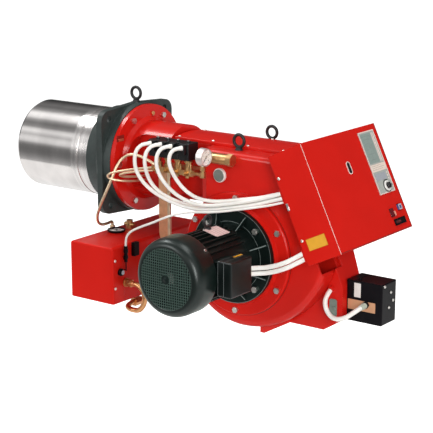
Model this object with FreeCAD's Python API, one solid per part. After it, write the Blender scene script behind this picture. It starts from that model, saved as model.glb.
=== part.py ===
import FreeCAD, Part
import math
import os

# A flange-mounted heavy oil burner, in millimetres.
# X runs along the blast tube and away from the boiler, the motor lies on the -Y side, Z is up.
# The origin is on the tube axis, at the face of the mounting plate that meets the boiler.

V = FreeCAD.Vector
AX = V(1, 0, 0)
AY = V(0, 1, 0)
AZ = V(0, 0, 1)

# clearances
FIT = 0.3                # face gap between a seated piece and a curved or soft seat
RUN = 2.0                # running gap round a turning piece
PUSH_CLEAR = 1.0         # gap round a pushbutton
PAST = 1.0               # how far a cut runs past the face that it opens

# blast tube and combustion head
TUBE_R = 125.0           # outer radius
TUBE_WALL = 4.0
TUBE_LENGTH = 325.0      # from the plate's boiler face to the open end
TUBE_SEAM = 97.0         # distance of the turned seam from that face
TUBE_SEAM_DEPTH = 1.5
TUBE_SEAM_WIDTH = 3.0
TUBE_LIP = 6.0           # rolled edge at the open end
TUBE_SEAT = 0.5          # step at the tube's seat in the plate
DIFFUSER_R = TUBE_R - 37.0
DIFFUSER_THICK = 3.0
DIFFUSER_SETBACK = 55.0  # from the tube's open end
DIFFUSER_HOLE_R = 30.0
DIFFUSER_SLOTS = 12
DIFFUSER_SLOT_HALF = 2.5
LANCE_R = 14.0
LANCE_END = 200.0
LANCE_BLOCK = 26.0       # length of the nozzle block
LANCE_STRUTS = 3
NOZZLE_R = 9.0
NOZZLE_LENGTH = 24.0
NOZZLE_RING_R = 19.0     # the nozzles' centres round the lance axis
NOZZLES = 4
ELECTRODE_R = 6.0
ELECTRODE_WIRE_R = 1.5
ELECTRODE_SPREAD = 24.0
ELECTRODE_FRONT = 34.0   # porcelain's front end behind the diffuser
ELECTRODE_BACK = 110.0
ELECTRODE_REACH = 12.0   # wire in front of the diffuser
ELECTRODE_Z = NOZZLE_RING_R + NOZZLE_R + ELECTRODE_R + 2.5
HOLDER_START = 60.0
HOLDER_LENGTH = 12.0

# collar, mounting plate and its bolt pattern, which follow the tube
COLLAR_LENGTH = 60.0
COLLAR_FRONT_R = TUBE_R + 9.0
COLLAR_REAR_R = TUBE_R + 21.0
PLATE_THICK = 18.0
PLATE_ROUND_R = TUBE_R + 26.0
PLATE_BOLT_SPACING = TUBE_R * 1.9152
PLATE_HOLE_R = 9.0
PLATE_EAR_R = 31.0
PLATE_EAR_Y = PLATE_BOLT_SPACING / 2.0 + 2.3
PLATE_EAR_Z = PLATE_BOLT_SPACING / 2.0 - 7.7
HUB_LENGTH = 24.0
HUB_R = TUBE_R + 25.0
HUB_BORE_R = 100.0

# burner body: flange, round head, neck and fan scroll
BODY_FLANGE_R = TUBE_R + 23.0
BODY_FLANGE_THICK = 14.0
FLANGE_BOLT_R = TUBE_R + 3.0
FLANGE_BOLTS = 6
HEAD_R = TUBE_R - 20.0
HEAD_END = 190.0         # rear end of the round head
HEAD_ROOT = 10.0         # cone between the flange and the head
BODY_WALL = 6.0
NECK_HALF = 95.0
NECK_TOP = 75.0
NECK_BOTTOM = -80.0
NECK_START = 100.0
NECK_ROUND = 34.0        # lower edges of the neck
POCKET_START = 66.0      # side pocket that takes the oil valves
POCKET_END = 325.0
POCKET_FLOOR = -62.0
POCKET_BOTTOM = -66.0
POCKET_TOP = 80.0
POCKET_ROUND = 42.0
FAR = 600.0              # reach of forms that are trimmed later

# motor axis and fan scroll
FAN_X = 445.7
FAN_Z = -188.0
SCROLL_FRONT = -115.0
SCROLL_BACK = -30.0
SCROLL_R1 = 188.0        # quarter from the left side to the bottom
SCROLL_R2 = 264.0        # quarter from the bottom to the right side
SCROLL_R3 = 195.0        # quarter from the right side to the top
SCROLL_LEFT = 179.7      # left side's distance from the fan axis
SCROLL_DROP = 196.0      # bottom's distance from the fan axis
SCROLL_R0 = 150.0        # first arc, from the tongue to the left side
SCROLL_R0_START = 120.0  # its start angle in degrees
SCROLL_EDGE = 16.0       # rounding of the outer front edge
EYE_R = 85.0             # air inlet of the fan
FOOT_DROP = 208.0        # lug under the scroll, below the fan axis
FOOT_THICK = 24.0

# cabinet, whose back lies along the leaning rear wall
TILT = 25.6              # lean of the cabinet in degrees
CAB_RIDGE_X = 665.1      # upper front corner of the cabinet
CAB_RIDGE_Z = 135.1
CAB_DEPTH = 105.4
CAB_LENGTH = 287.7
CAB_WIDTH = 347.3
CAB_SIDE_Y = -165.0
CAB_SHEET = 2.0
CAB_LIP = 16.0           # height of the back tray's rim
CAB_STANDOFF = 10.0
STANDOFF_R = 9.0
STANDOFF_Y = 60.0
STANDOFF_DOWN = (45.0, 145.0)
CAB_SCREWS = ((97.0, 60.0), (97.0, 224.0))   # on the narrow side: behind the face, down
GROMMET_STAND = 6.0
GROMMETS = ((3.0, 86.0, 26.0, 40.0), (2.0, 244.0, 18.0, 33.0))  # across, down, width, length

# top cover
LID_START = 198.0
LID_END = 556.0
LID_HALF = 62.0
LID_EDGE = 9.0
LID_CROWN = 6.0
LID_ROUND = 3.0
LID_PLUG = 4.0           # depth of the part that centres the lid in its opening
LID_OPENING_START = 215.0
LID_OPENING_END = 530.0
LID_OPENING_HALF = 46.0
LID_SCREW_EDGE = 12.0
LID_SCREWS_PER_SIDE = 4

# lifting eyes, M10, and the smaller one of the motor
EYE_RING_R = 16.0
EYE_WIRE_R = 4.2
MOTOR_EYE_RING_R = 14.0
MOTOR_EYE_WIRE_R = 3.8
EYE_COLLAR_R = 11.0
EYE_COLLAR_H = 6.0
EYE_BOLT_R = 5.0
EYE_BOLT_DEPTH = 12.0
EYE_SINK = 2.0           # how far a ring's wire runs into its collar
BODY_EYE_X = 418.0
BODY_EYE_Y = 75.0

# hexagon bolts of 10 mm and small screws
HEX_HEAD_R = 8.4         # across corners
HEX_HEAD_H = 6.4
HEX_SHANK_R = 5.0
HEX_GRIP = 12.0          # shank below the head
SCREW_R = 2.0
SCREW_HEAD_R = 4.0
SCREW_HEAD_H = 3.0
SCREW_GRIP = 6.0

# motor plate and motor, frame size 100 with a 250 mm flange
MPLATE_R = 163.0
MPLATE_THICK = 10.0
MPLATE_BOSS_R = 128.0
MPLATE_BOSS = 10.0
MPLATE_HOLE_R = 150.0
MPLATE_SPIGOT_R = MPLATE_HOLE_R - 14.5
PLATE_BOLT_R = 149.7
PLATE_BOLTS = 6
MFLANGE_R = 125.0
MFLANGE_THICK = 12.0
MFLANGE_Y = SCROLL_FRONT - MPLATE_THICK - MPLATE_BOSS
MFLANGE_PCD_R = 107.5
MFLANGE_BOLTS = 4
SPIGOT_R = 90.0
SPIGOT_DEPTH = 4.0
SHIELD_R = 84.0
SHIELD_LENGTH = 34.0
SHIELD_RIBS = 8
RIB_THICK = 5.0
RIB_HEIGHT = 28.0
FRAME_R = 82.0
FRAME_FIN_TIP = 91.0
FRAME_LENGTH = 170.0
FIN_THICK = 3.0
FIN_STEP = 10.0          # degrees between fins
FIN_END = 4.0            # bare end of the frame beside a fin
FIN_FREE = 36.0          # degrees on each side of the terminal box without fins
MOTOR_EYE_Y = -248.0
MOTOR_EYE = V(FAN_X, MOTOR_EYE_Y, FAN_Z + FRAME_FIN_TIP)
COWL_R = 100.0
COWL_SHEET = 2.0
COWL_START = -343.0
COWL_LENGTH = 78.0
COWL_END = COWL_START - COWL_LENGTH
COWL_ROUND = 22.0
COWL_LUG = 12.0          # length of the frame's lugs that carry the cowl
COWL_LUG_HALF = 7.0
GRILLE_R = 79.0
GRILLE_HUB_R = 14.0
GRILLE_PITCH = 10.5
GRILLE_HOLE = 7.0
SHAFT_R = 14.0
FAN_R = 122.0
FAN_FRONT = SCROLL_FRONT + BODY_WALL + RUN * 2
FAN_BACK = SCROLL_BACK - BODY_WALL - RUN
FAN_BLADES = 10
BLADE_INNER_R = 60.0
BLADE_SWEEP = 34.0       # degrees between a blade's ends
FAN_BLADE_THICK = 2.5
FAN_DISC = 3.0
FAN_HUB_R = 24.0
FAN_HUB_BACK = FAN_BACK - 22.0
COOLER_Y = COWL_END + 21.0
COOLER_HUB_R = 24.0
COOLER_R = 84.0
COOLER_BLADES = 7
COOLER_BLADE_THICK = 3.0
COOLER_WIDTH = 24.0
TERM_Y0 = -338.0
TERM_Y1 = -250.0
TERM_HALF = 45.0
TERM_SEAT = 545.0
TERM_BASE = 16.0
TERM_LID = 23.0
TERM_GASKET = 1.5
TERM_EDGE = 6.0          # step between the seat and the box
TERM_GLANDS = (-185.0, -199.0)
TERM_GLAND_R = 7.5
GLAND_LENGTH = 8.0

# oil valve group in the side pocket
COIL_FIRST_X = 177.0
COIL_PITCH = 33.5
COIL_WIDTH = 31.5
COILS = 4
COIL_Y0 = -150.0
COIL_DEPTH = 44.0
COIL_TOP = 88.0
COIL_HEIGHT = 44.0
COIL_NUT_R = 5.0
COIL_NUT_H = 3.5
PLUG_WIDTH = 22.0
PLUG_HEIGHT = 26.0
PLUG_DEPTH = 10.0
BAR_Z = -2.0             # underside of the valve bar
BAR_HEIGHT = 18.0
BAR_LOW = BAR_Z + BAR_HEIGHT / 4.0
BAR_Y0 = -140.0
BAR_Y1 = -112.0
BAR_END = 2.0            # the bar is this much shorter than the coils' row at each end
STEM_R = 8.0
STEM_NUT_R = 11.0
TEST_PLUG_R = 7.0
CHECK_VALVE_R = 5.5
GAUGE_R = 23.0
GAUGE_DEPTH = 19.0
GAUGE_X = 384.0          # plane of the dial
GAUGE_Y = -172.0
GAUGE_Z = 67.0
GAUGE_RIM = 2.0
GAUGE_RIM_RISE = 3.0
GAUGE_STEM_X = GAUGE_X - GAUGE_DEPTH / 2.0
GAUGE_PIPE_Z = 20.0
GAUGE_PIPE_R = 4.5
PIN_R = 1.2              # pin of a dial's needle
NEEDLE_GAP = 1.9         # the thermometer's needle above its dial
NEEDLE_THICK = 0.8
NEEDLE_RISE = 0.4
CYL_R = 14.0
CYL_START = 352.0
CYL_END = 438.0
CYL_CAP = 16.0
CYL_Y = -129.5
CYL_Z = 58.0
NOZZLE_PIPE_R = 3.0
NOZZLE_PIPE_OUTER = ((150.0, -146.0, 5.0), (120.0, -162.0, 0.0), (92.0, -174.0, -6.0),
                     (71.0, -180.0, -12.0), (59.0, -180.0, -20.0), (60.0, -175.0, -28.0),
                     (70.0, -167.0, -33.0), (86.0, -150.0, -37.0), (98.0, -122.0, -41.0),
                     (104.0, -92.0, -43.0))
NOZZLE_PIPE_INNER = ((150.0, -140.0, -3.0), (120.0, -154.0, -8.0), (98.0, -163.0, -13.0),
                     (85.0, -162.0, -19.0), (87.0, -149.0, -25.0), (98.0, -120.0, -29.0),
                     (105.0, -91.0, -31.0))
NOZZLE_PIPE_ENDS = ((105.0, -44.0), (107.0, -32.0))   # where they enter the body: X and Z
THIN_PIPE_R = 4.0
PREHEATER_PIPE = ((156.0, -121.0, 22.0), (130.0, -123.0, 31.0), (106.0, -127.0, 35.0), (88.0, -132.0, 31.0),
                  (75.0, -140.0, 19.0), (67.0, -150.0, 0.0), (60.0, -161.0, -30.0), (41.0, -171.0, -78.0),
                  (24.0, -173.0, -114.0), (11.0, -170.0, -143.0), (6.0, -160.0, -163.0),
                  (5.0, -142.0, -172.0), (4.0, -118.0, -173.0))
RETURN_PIPE_R = 5.0
RETURN_NUT_R = 9.0
RETURN_X = 226.0
RETURN_Y = -124.0
RETURN_Z = -275.0
COPPER_R = 7.0
SIGHT_X = 388.0
SIGHT_Z = 12.0
SIGHT_R = 18.5
SIGHT_GLASS_R = 13.5
SIGHT_GLASS_THICK = 3.9
SIGHT_STAND = 8.0
SIGHT_LIP = 3.0

# preheater
HEATER_X0 = -8.0
HEATER_X1 = 142.0
HEATER_Y0 = -260.0
HEATER_Y1 = 120.0
HEATER_TOP = -193.0
HEATER_BOTTOM = -348.0
HEATER_ROUND = 8.0
HEATER_FRONT_ROUND = 5.0
HEATER_COVER = 48.0      # depth of the end cover
HEATER_SCREW_Y = HEATER_Y0 + 9.0
HEATER_SCREW_Z = (HEATER_TOP - 36.0, HEATER_BOTTOM + 43.0)
THERMO_X = 32.0
THERMO_Y = -114.0
THERMO_R = 25.0
THERMO_RIM = 2.5
THERMO_H = 7.0
THERMO_SINK = 4.0        # depth of the dial below the rim
RELIEF_X = 36.0
RELIEF_Y = -62.0
SENSOR_Y = -214.0
SENSOR_TOP = -194.0
SENSOR_OUT = 7.0         # the sensor's axis in front of the preheater
CONNECTOR_Y = -183.0
CONNECTOR_W = 20.0
CONNECTOR_DEPTH = 11.0
CONNECTOR_H = 37.0
KNOB_Y = -231.0
KNOB_Z = -263.0
KNOB_R = 10.0
KNOB_HEIGHT = 10.0
THERMOSTAT_SHAFT_R = 3.0
THERMOSTAT_SHAFT = 9.0
ELBOW_Y = -208.0
ELBOW_Z = -297.0
ELBOW_LENGTH = 22.0
PIPE_SEAT_X = 3.0        # where the preheater pipe comes down on the tank
PIPE_SEAT_Y = -97.0
PIPE_NUT_R = 7.5
PIPE_NUT_H = 10.0
STRAP_Y = -118.0
STRAP_THICK = 4.0
STRAP_X0 = 186.0
STRAP_X1 = 215.0
STRAP_WAIST = 15.0
STRAP_NARROW = -170.0
STRAP_CURVE = 40.0
STRAP_END = -262.0
STRAP_TAB = 28.0

# air intake, damper, pump and servomotor
INTAKE_X0 = 300.0
INTAKE_X1 = 730.0
INTAKE_BOTTOM = -365.0
INTAKE_FRONT = -60.0
INTAKE_BACK = 92.0
INTAKE_WALL = 4.0
INTAKE_FORE_X = 560.0
INTAKE_TAPER_X = 600.0
INTAKE_TAPER_Y = 28.0
INTAKE_NOSE = 30.0       # slope at the lower front edge
INTAKE_HEEL = 55.0       # bevels at the lower rear edge
INTAKE_HEEL_STEP = 23.0
THROAT_X0 = 476.0
THROAT_X1 = 668.0
THROAT_Y0 = -20.0
THROAT_Y1 = 50.0
THROAT_HEIGHT = 44.0
DAMPER_Y = (THROAT_Y0 + THROAT_Y1) / 2.0
DAMPER_Z = -326.0
DAMPER_SHAFT_R = 5.0
DAMPER_THICK = 3.0
DAMPER_OUT = 14.0        # shaft end in the servomotor
SHAFT_CLEAR = 0.5
INDEX_X = 703.0
INDEX_Z = -300.0
INDEX_W = 22.0
INDEX_H = 44.0
INDEX_THICK = 1.5
INDEX_STUD_R = 4.5
PUMP_R = 38.0
PUMP_LENGTH = 54.0
PUMP_FLANGE = 8.0
PUMP_SHAFT_R = 7.0
PUMP_PORT_R = 13.0
PUMP_INLET_Z = FAN_Z - PUMP_R - 22.0
PIPE_END_Y = INTAKE_BACK + 32.0
SERVO_X = 102.0
SERVO_Y0 = -39.0
SERVO_Y1 = 31.0
SERVO_TOP = -225.0
SERVO_BOTTOM = -332.0
SERVO_GROOVE_X = 24.0
SERVO_GROOVE = 2.0
SERVO_STUD_X = 30.0
SERVO_GLAND_X = 787.0
SERVO_GLAND_Z = -283.0
SERVO_GLAND_R = 9.0
SERVO_SCREWS = ((3.0, -252.0), (15.0, -275.0), (-5.0, -290.0), (-28.0, -231.0))
CONDUIT_X = 697.0
CONDUIT_Z = -253.0

# controls on the cabinet face, placed across (+Y) and down the face from its upper -Y corner
PANEL_W = 75.0
PANEL_L = 169.0
PANEL_MARGIN = 18.3      # from the face's far edge
PANEL_ACROSS = CAB_WIDTH - PANEL_MARGIN - PANEL_W
PANEL_DOWN = 15.0
PANEL_THICK = 1.5
DIAL_ACROSS = PANEL_ACROSS + 46.0
DIAL_DOWN = PANEL_DOWN + 151.0
DIAL_R = 14.0
DIAL_HEIGHT = 14.0
DIAL_SHAFT_R = 4.0
DIAL_SHAFT = 12.0
RESET_ACROSS = PANEL_ACROSS + 64.0
RESET_DOWN = CAB_LENGTH - 59.7
RESET_SIZE = 15.0
RESET_RISE = 5.0
RESET_SINK = 7.0
SWITCH_ACROSS = PANEL_ACROSS + 23.0
SWITCH_DOWN = CAB_LENGTH - 51.7
SWITCH_W = 14.0
SWITCH_H = 18.0
HOUSING_WALL = 2.5       # walls of a pushbutton's housing behind the face
HOUSING_DEPTH = 18.0
ROCKER_PIVOT = -2.5      # height of the rocker's axis above the face
ROCKER_THROW = 14.0      # degrees
ROCKER_RISE = 3.2
ROCKER_DEPTH = 6.0
RESET_AREA = (RESET_ACROSS - RESET_SIZE / 2, RESET_DOWN - RESET_SIZE / 2, RESET_SIZE, RESET_SIZE)
SWITCH_AREA = (SWITCH_ACROSS - SWITCH_W / 2, SWITCH_DOWN - SWITCH_H / 2, SWITCH_W, SWITCH_H)
COUNTER = (PANEL_ACROSS + 19.0, CAB_LENGTH - 33.7, 52.0, 17.0)
COUNTER_FRAME = 4.0
COUNTER_THICK = 3.0
COUNTER_SINK = 1.5

# cables
COIL_CABLE_D = 10.0
SENSOR_CABLE_D = 6.0
MOTOR_CABLE_D = 12.0
SERVO_CABLE_D = 12.0


def block(x0, x1, y0, y1, z0, z1):
    """Box between two corners."""
    return Part.makeBox(x1 - x0, y1 - y0, z1 - z0, V(x0, y0, z0))


def rod(radius, start, end):
    """Round bar from one point to another."""
    way = end.sub(start)
    return Part.makeCylinder(radius, way.Length, start, way)


def ring(outer, inner, start, end):
    """Round sleeve from one point to another."""
    return rod(outer, start, end).cut(rod(inner, start, end))


def turned(profile, base, axis, across):
    """Solid of revolution. The profile holds (distance along the axis, radius) pairs."""
    points = [base + axis * along + across * radius for along, radius in profile]
    face = Part.Face(Part.makePolygon(points + [points[0]]))
    return face.revolve(base, axis, 360)


def slab(points, offset):
    """Flat plate from its corner points and the vector of its thickness."""
    return Part.Face(Part.makePolygon(points + [points[0]])).extrude(offset)


def hexagon(radius, start, offset, turn=0.0):
    """Six-sided bar with the given radius to its corners."""
    axis = V(offset).normalize()
    side = AZ if abs(axis.z) < 0.7 else AX
    across = axis.cross(side).normalize()
    up = axis.cross(across)
    corners = []
    for step in range(6):
        angle = math.radians(60 * step + turn)
        corners.append(start + across * (radius * math.cos(angle)) + up * (radius * math.sin(angle)))
    return slab(corners, offset)


def fused(shapes):
    """One solid from several that touch or cross."""
    return shapes[0].multiFuse(shapes[1:]).removeSplitter()


def arc_edge(centre, radius, start, end, plane="xz"):
    """Arc in the XZ or YZ plane, by its angles in degrees."""
    points = []
    for angle in (start, (start + end) / 2.0, end):
        c = radius * math.cos(math.radians(angle))
        s = radius * math.sin(math.radians(angle))
        points.append(centre + (V(c, 0, s) if plane == "xz" else V(0, c, s)))
    return Part.Arc(*points).toShape()


def hull(circles):
    """Outline round circles in the YZ plane, given counter-clockwise as (y, z, radius)."""
    tangents = []
    for (y0, z0, r0), (y1, z1, r1) in zip(circles, circles[1:] + circles[:1]):
        gap = math.hypot(y1 - y0, z1 - z0)
        normal = math.atan2(z1 - z0, y1 - y0) - math.acos((r0 - r1) / gap)
        side = V(0, math.cos(normal), math.sin(normal))
        tangents.append((V(0, y0, z0) + side * r0, V(0, y1, z1) + side * r1, math.degrees(normal)))
    edges = []
    for index, (start, end, normal) in enumerate(tangents):
        edges.append(Part.makeLine(start, end))
        y, z, radius = circles[(index + 1) % len(circles)]
        turn = (tangents[(index + 1) % len(circles)][2] - normal) % 360.0
        if turn > 0.01:
            edges.append(arc_edge(V(0, y, z), radius, normal, normal + turn, "yz"))
    return Part.Wire(Part.__sortEdges__(edges))


def route(points, least):
    """Straight runs joined by tangent arcs, and the smallest arc radius."""
    edges = []
    last = points[0]
    smallest = 1e9
    for index in range(1, len(points) - 1):
        before, corner, after = points[index - 1:index + 2]
        come = corner.sub(before)
        leave = after.sub(corner)
        half = come.getAngle(leave) / 2.0
        radius = 0.45 * min(come.Length, leave.Length) / math.tan(half)
        smallest = min(smallest, radius)
        setback = 0.45 * min(come.Length, leave.Length)
        come.normalize()
        leave.normalize()
        enter = corner - come * setback
        exit_ = corner + leave * setback
        inward = (leave - come).normalize()
        middle = corner + inward * (radius / math.cos(half) - radius)
        edges.append(Part.makeLine(last, enter))
        edges.append(Part.Arc(enter, middle, exit_).toShape())
        last = exit_
    edges.append(Part.makeLine(last, points[-1]))
    if smallest < least:
        print("tight arc", round(smallest, 1), "under", least)
    return Part.Wire(edges), smallest


def tube(name, places, diameter, bore=0.0):
    """Round cable or pipe along a route. It prints its radii, length and volume."""
    points = [V(*place) for place in places]
    path, smallest = route(points, 3 * diameter)
    start = points[0]
    circle = Part.Wire(Part.makeCircle(diameter / 2.0, start, points[1].sub(start)))
    solid = path.makePipeShell([circle], True, False)
    if bore > 0:
        inner = Part.Wire(Part.makeCircle(bore / 2.0, start, points[1].sub(start)))
        solid = solid.cut(path.makePipeShell([inner], True, False))
    section = math.pi * (diameter ** 2 - bore ** 2) / 4.0
    share = solid.Volume / (section * path.Length)
    print(name, "length", round(path.Length), "least radius", round(smallest, 1), "volume", round(share, 3))
    return solid


def save(name, *solids):
    """Write one node: a single solid, or a group of separate ones."""
    shape = solids[0] if len(solids) == 1 else Part.makeCompound(list(solids))
    shape.exportStep(os.path.join("parts", name + ".step"))


def bolt(base, axis):
    """Hexagon bolt whose head sits on base and whose shank runs against axis."""
    head = hexagon(HEX_HEAD_R, base, axis * HEX_HEAD_H)
    return head.fuse(rod(HEX_SHANK_R, base, base - axis * HEX_GRIP))


def lifting_eye(base, ring_r, wire_r, through):
    """Ring with its collar and threaded end, standing on base. Its hole runs along through."""
    ring_z = EYE_COLLAR_H + ring_r + wire_r - EYE_SINK
    eye = Part.makeTorus(ring_r, wire_r, base + AZ * ring_z, through)
    collar = Part.makeCone(EYE_COLLAR_R, EYE_COLLAR_R - 3, EYE_COLLAR_H, base, AZ)
    thread = rod(EYE_BOLT_R, base - AZ * EYE_BOLT_DEPTH, base + AZ * EYE_COLLAR_H)
    return fused([collar, thread, eye])


def eye_bore(base):
    """Threaded hole below a lifting eye."""
    return rod(EYE_BOLT_R, base - AZ * (EYE_BOLT_DEPTH + PAST), base)


def around(count, radius, x, first):
    """Points on a circle about the tube axis."""
    places = []
    for step in range(count):
        angle = math.radians(first + 360.0 * step / count)
        places.append(V(x, radius * math.cos(angle), radius * math.sin(angle)))
    return places


def fan_ring(count, radius, y, first):
    """Points on a circle about the motor axis."""
    places = []
    for step in range(count):
        angle = math.radians(first + 360.0 * step / count)
        places.append(V(FAN_X + radius * math.cos(angle), y, FAN_Z + radius * math.sin(angle)))
    return places


def fan_point(y):
    return V(FAN_X, y, FAN_Z)


# frame of the leaning cabinet
LEAN = math.radians(TILT)
FACE_OUT = V(math.cos(LEAN), 0, math.sin(LEAN))
FACE_DOWN = V(math.sin(LEAN), 0, -math.cos(LEAN))
CAB_CORNER = V(CAB_RIDGE_X, CAB_SIDE_Y, CAB_RIDGE_Z)
REAR_PLANE = CAB_CORNER.dot(FACE_OUT) - CAB_DEPTH - CAB_STANDOFF


def on_face(across, down, out=0.0):
    """Point on the cabinet's wide face."""
    return CAB_CORNER + AY * across + FACE_DOWN * down + FACE_OUT * out


def face_block(across, down, width, length, low, high):
    """Box on the cabinet's face, between two heights above it."""
    start = on_face(across, down, low)
    corners = [start, start + AY * width, start + AY * width + FACE_DOWN * length, start + FACE_DOWN * length]
    return slab(corners, FACE_OUT * (high - low))


def rear_x(z, inset=0.0):
    """Place of the leaning rear wall at a height."""
    return (REAR_PLANE - inset - z * FACE_OUT.z) / FACE_OUT.x


def make_blast_tube():
    end = -TUBE_LENGTH
    seam = -TUBE_SEAM
    groove = seam - TUBE_SEAM_WIDTH
    inner = TUBE_R - TUBE_WALL
    low = TUBE_R - TUBE_SEAM_DEPTH
    seat = TUBE_R - TUBE_SEAT
    profile = [(end, inner), (end, TUBE_R - TUBE_LIP / 2), (end + TUBE_LIP, TUBE_R), (groove, TUBE_R),
               (groove, low), (seam, low), (seam, seat), (TUBE_BACK, seat), (TUBE_BACK, inner)]
    return turned(profile, V(0, 0, 0), AX, AZ)


def make_collar():
    bore = TUBE_R + FIT
    front = -COLLAR_LENGTH
    edge = COLLAR_LENGTH / 20
    profile = [(front, bore), (front, COLLAR_FRONT_R - edge), (front + edge, COLLAR_FRONT_R),
               (-5.3 * edge, COLLAR_REAR_R - 2 * edge), (-2 * edge, COLLAR_REAR_R), (0, COLLAR_REAR_R),
               (0, bore)]
    return turned(profile, V(0, 0, 0), AX, AZ)


def plate_holes(x0, x1, radius):
    half = PLATE_BOLT_SPACING / 2.0
    return [rod(radius, V(x0, y, z), V(x1, y, z)) for y in (-half, half) for z in (-half, half)]


TUBE_BACK = PLATE_THICK - 2.0
FLANGE_EYE = V(PLATE_THICK / 2.0 + 5.0, 0, PLATE_ROUND_R + 1.0)
FLANGE_X = PLATE_THICK + HUB_LENGTH
BODY_FACE = FLANGE_X + BODY_FLANGE_THICK


def make_mounting_plate():
    ears = [(PLATE_EAR_Y, -PLATE_EAR_Z), (PLATE_EAR_Y, PLATE_EAR_Z), (-PLATE_EAR_Y, PLATE_EAR_Z),
            (-PLATE_EAR_Y, -PLATE_EAR_Z)]
    circles = []
    for index, (y, z) in enumerate(ears):
        circles.append((y, z, PLATE_EAR_R))
        if index in (1, 3):
            circles.append((0.0, 0.0, PLATE_ROUND_R))
    plate = Part.Face(hull(circles)).extrude(AX * PLATE_THICK)
    hub = rod(HUB_R, V(PLATE_THICK, 0, 0), V(FLANGE_X, 0, 0))
    pad = rod(EYE_COLLAR_R + 3, FLANGE_EYE - AZ * PLATE_EAR_R, FLANGE_EYE)
    plate = fused([plate, hub, pad])
    plate = plate.cut(rod(TUBE_R - TUBE_SEAT, AX * -PAST, AX * TUBE_BACK))
    plate = plate.cut(rod(HUB_BORE_R, V(0, 0, 0), AX * (FLANGE_X + PAST)))
    for hole in plate_holes(-PAST, PLATE_THICK + PAST, PLATE_HOLE_R):
        plate = plate.cut(hole)
    for place in around(FLANGE_BOLTS, FLANGE_BOLT_R, BODY_FACE, 0.0):
        plate = plate.cut(rod(HEX_SHANK_R, place - AX * (BODY_FLANGE_THICK + HEX_GRIP + 8), place))
    return plate.cut(eye_bore(FLANGE_EYE))


def scroll_wire(inset, y):
    """Spiral outline of the fan casing: four arcs that meet smoothly and a straight outlet."""
    left = FAN_X - SCROLL_LEFT
    c1 = V(left + SCROLL_R1, y, FAN_Z - SCROLL_DROP + SCROLL_R1)
    c2 = V(c1.x, y, FAN_Z - SCROLL_DROP + SCROLL_R2)
    c3 = V(c1.x + SCROLL_R2 - SCROLL_R3, y, c2.z)
    c0 = V(left + SCROLL_R0, y, c1.z)
    first = SCROLL_R0_START
    arcs = [arc_edge(c0, SCROLL_R0 - inset, first, 180), arc_edge(c1, SCROLL_R1 - inset, 180, 270),
            arc_edge(c2, SCROLL_R2 - inset, 270, 360), arc_edge(c3, SCROLL_R3 - inset, 0, 90)]
    tongue = arcs[0].Vertexes[0].Point
    top = c3 + AZ * (SCROLL_R3 - inset)
    corner = V(tongue.x, y, top.z)
    lines = [Part.makeLine(top, corner), Part.makeLine(corner, tongue)]
    return Part.Wire(Part.__sortEdges__(arcs + lines))


def scroll_solid(inset, y0, y1):
    return Part.Face(scroll_wire(inset, y0)).extrude(AY * (y1 - y0))


def neck_section(inset, x):
    """Neck section with rounded lower edges."""
    half = NECK_HALF - inset
    low = NECK_BOTTOM + inset
    high = NECK_TOP - inset
    r = NECK_ROUND - inset
    edges = [Part.makeLine(V(x, -half, high), V(x, half, high)),
             Part.makeLine(V(x, half, high), V(x, half, low + r)),
             arc_edge(V(x, half - r, low + r), r, 0, -90, "yz"),
             Part.makeLine(V(x, half - r, low), V(x, r - half, low)),
             arc_edge(V(x, r - half, low + r), r, -90, -180, "yz"),
             Part.makeLine(V(x, -half, low + r), V(x, -half, high))]
    return Part.Wire(Part.__sortEdges__(edges))


def behind_rear(inset=0.0):
    """Everything behind the leaning rear wall, to be cut away."""
    low, high, far, side = -FAR, FAR / 2, FAR * 2, -FAR * 2 / 3
    corners = [V(rear_x(low, inset), side, low), V(far, side, low), V(far, side, high),
               V(rear_x(high, inset), side, high)]
    return slab(corners, AY * (-2 * side))


def make_cheek():
    """Sloping wall from the pocket's end out to the scroll's front."""
    start = POCKET_END - 40
    inside = -NECK_HALF + 10
    tongue = FAN_X - SCROLL_LEFT + SCROLL_R0 * (1 - math.cos(math.radians(180 - SCROLL_R0_START))) + 4
    low = POCKET_BOTTOM + BODY_WALL
    return slab([V(start, -NECK_HALF, low), V(tongue, SCROLL_FRONT, low), V(tongue, inside, low),
                 V(start, inside, low)], AZ * (CYL_Z - low))


def make_foot():
    """Lug below the scroll, with a bevelled rear edge."""
    x0 = FAN_X + 57
    x1 = FAN_X + 142
    y = -NECK_HALF
    low = FAN_Z - FOOT_DROP
    return slab([V(x0, y, FAN_Z - SCROLL_R0), V(x0, y, low), V(x0 + 13, y, low), V(x1, y, low + 40),
                 V(x1, y, FAN_Z - 120)], AY * FOOT_THICK)


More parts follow.
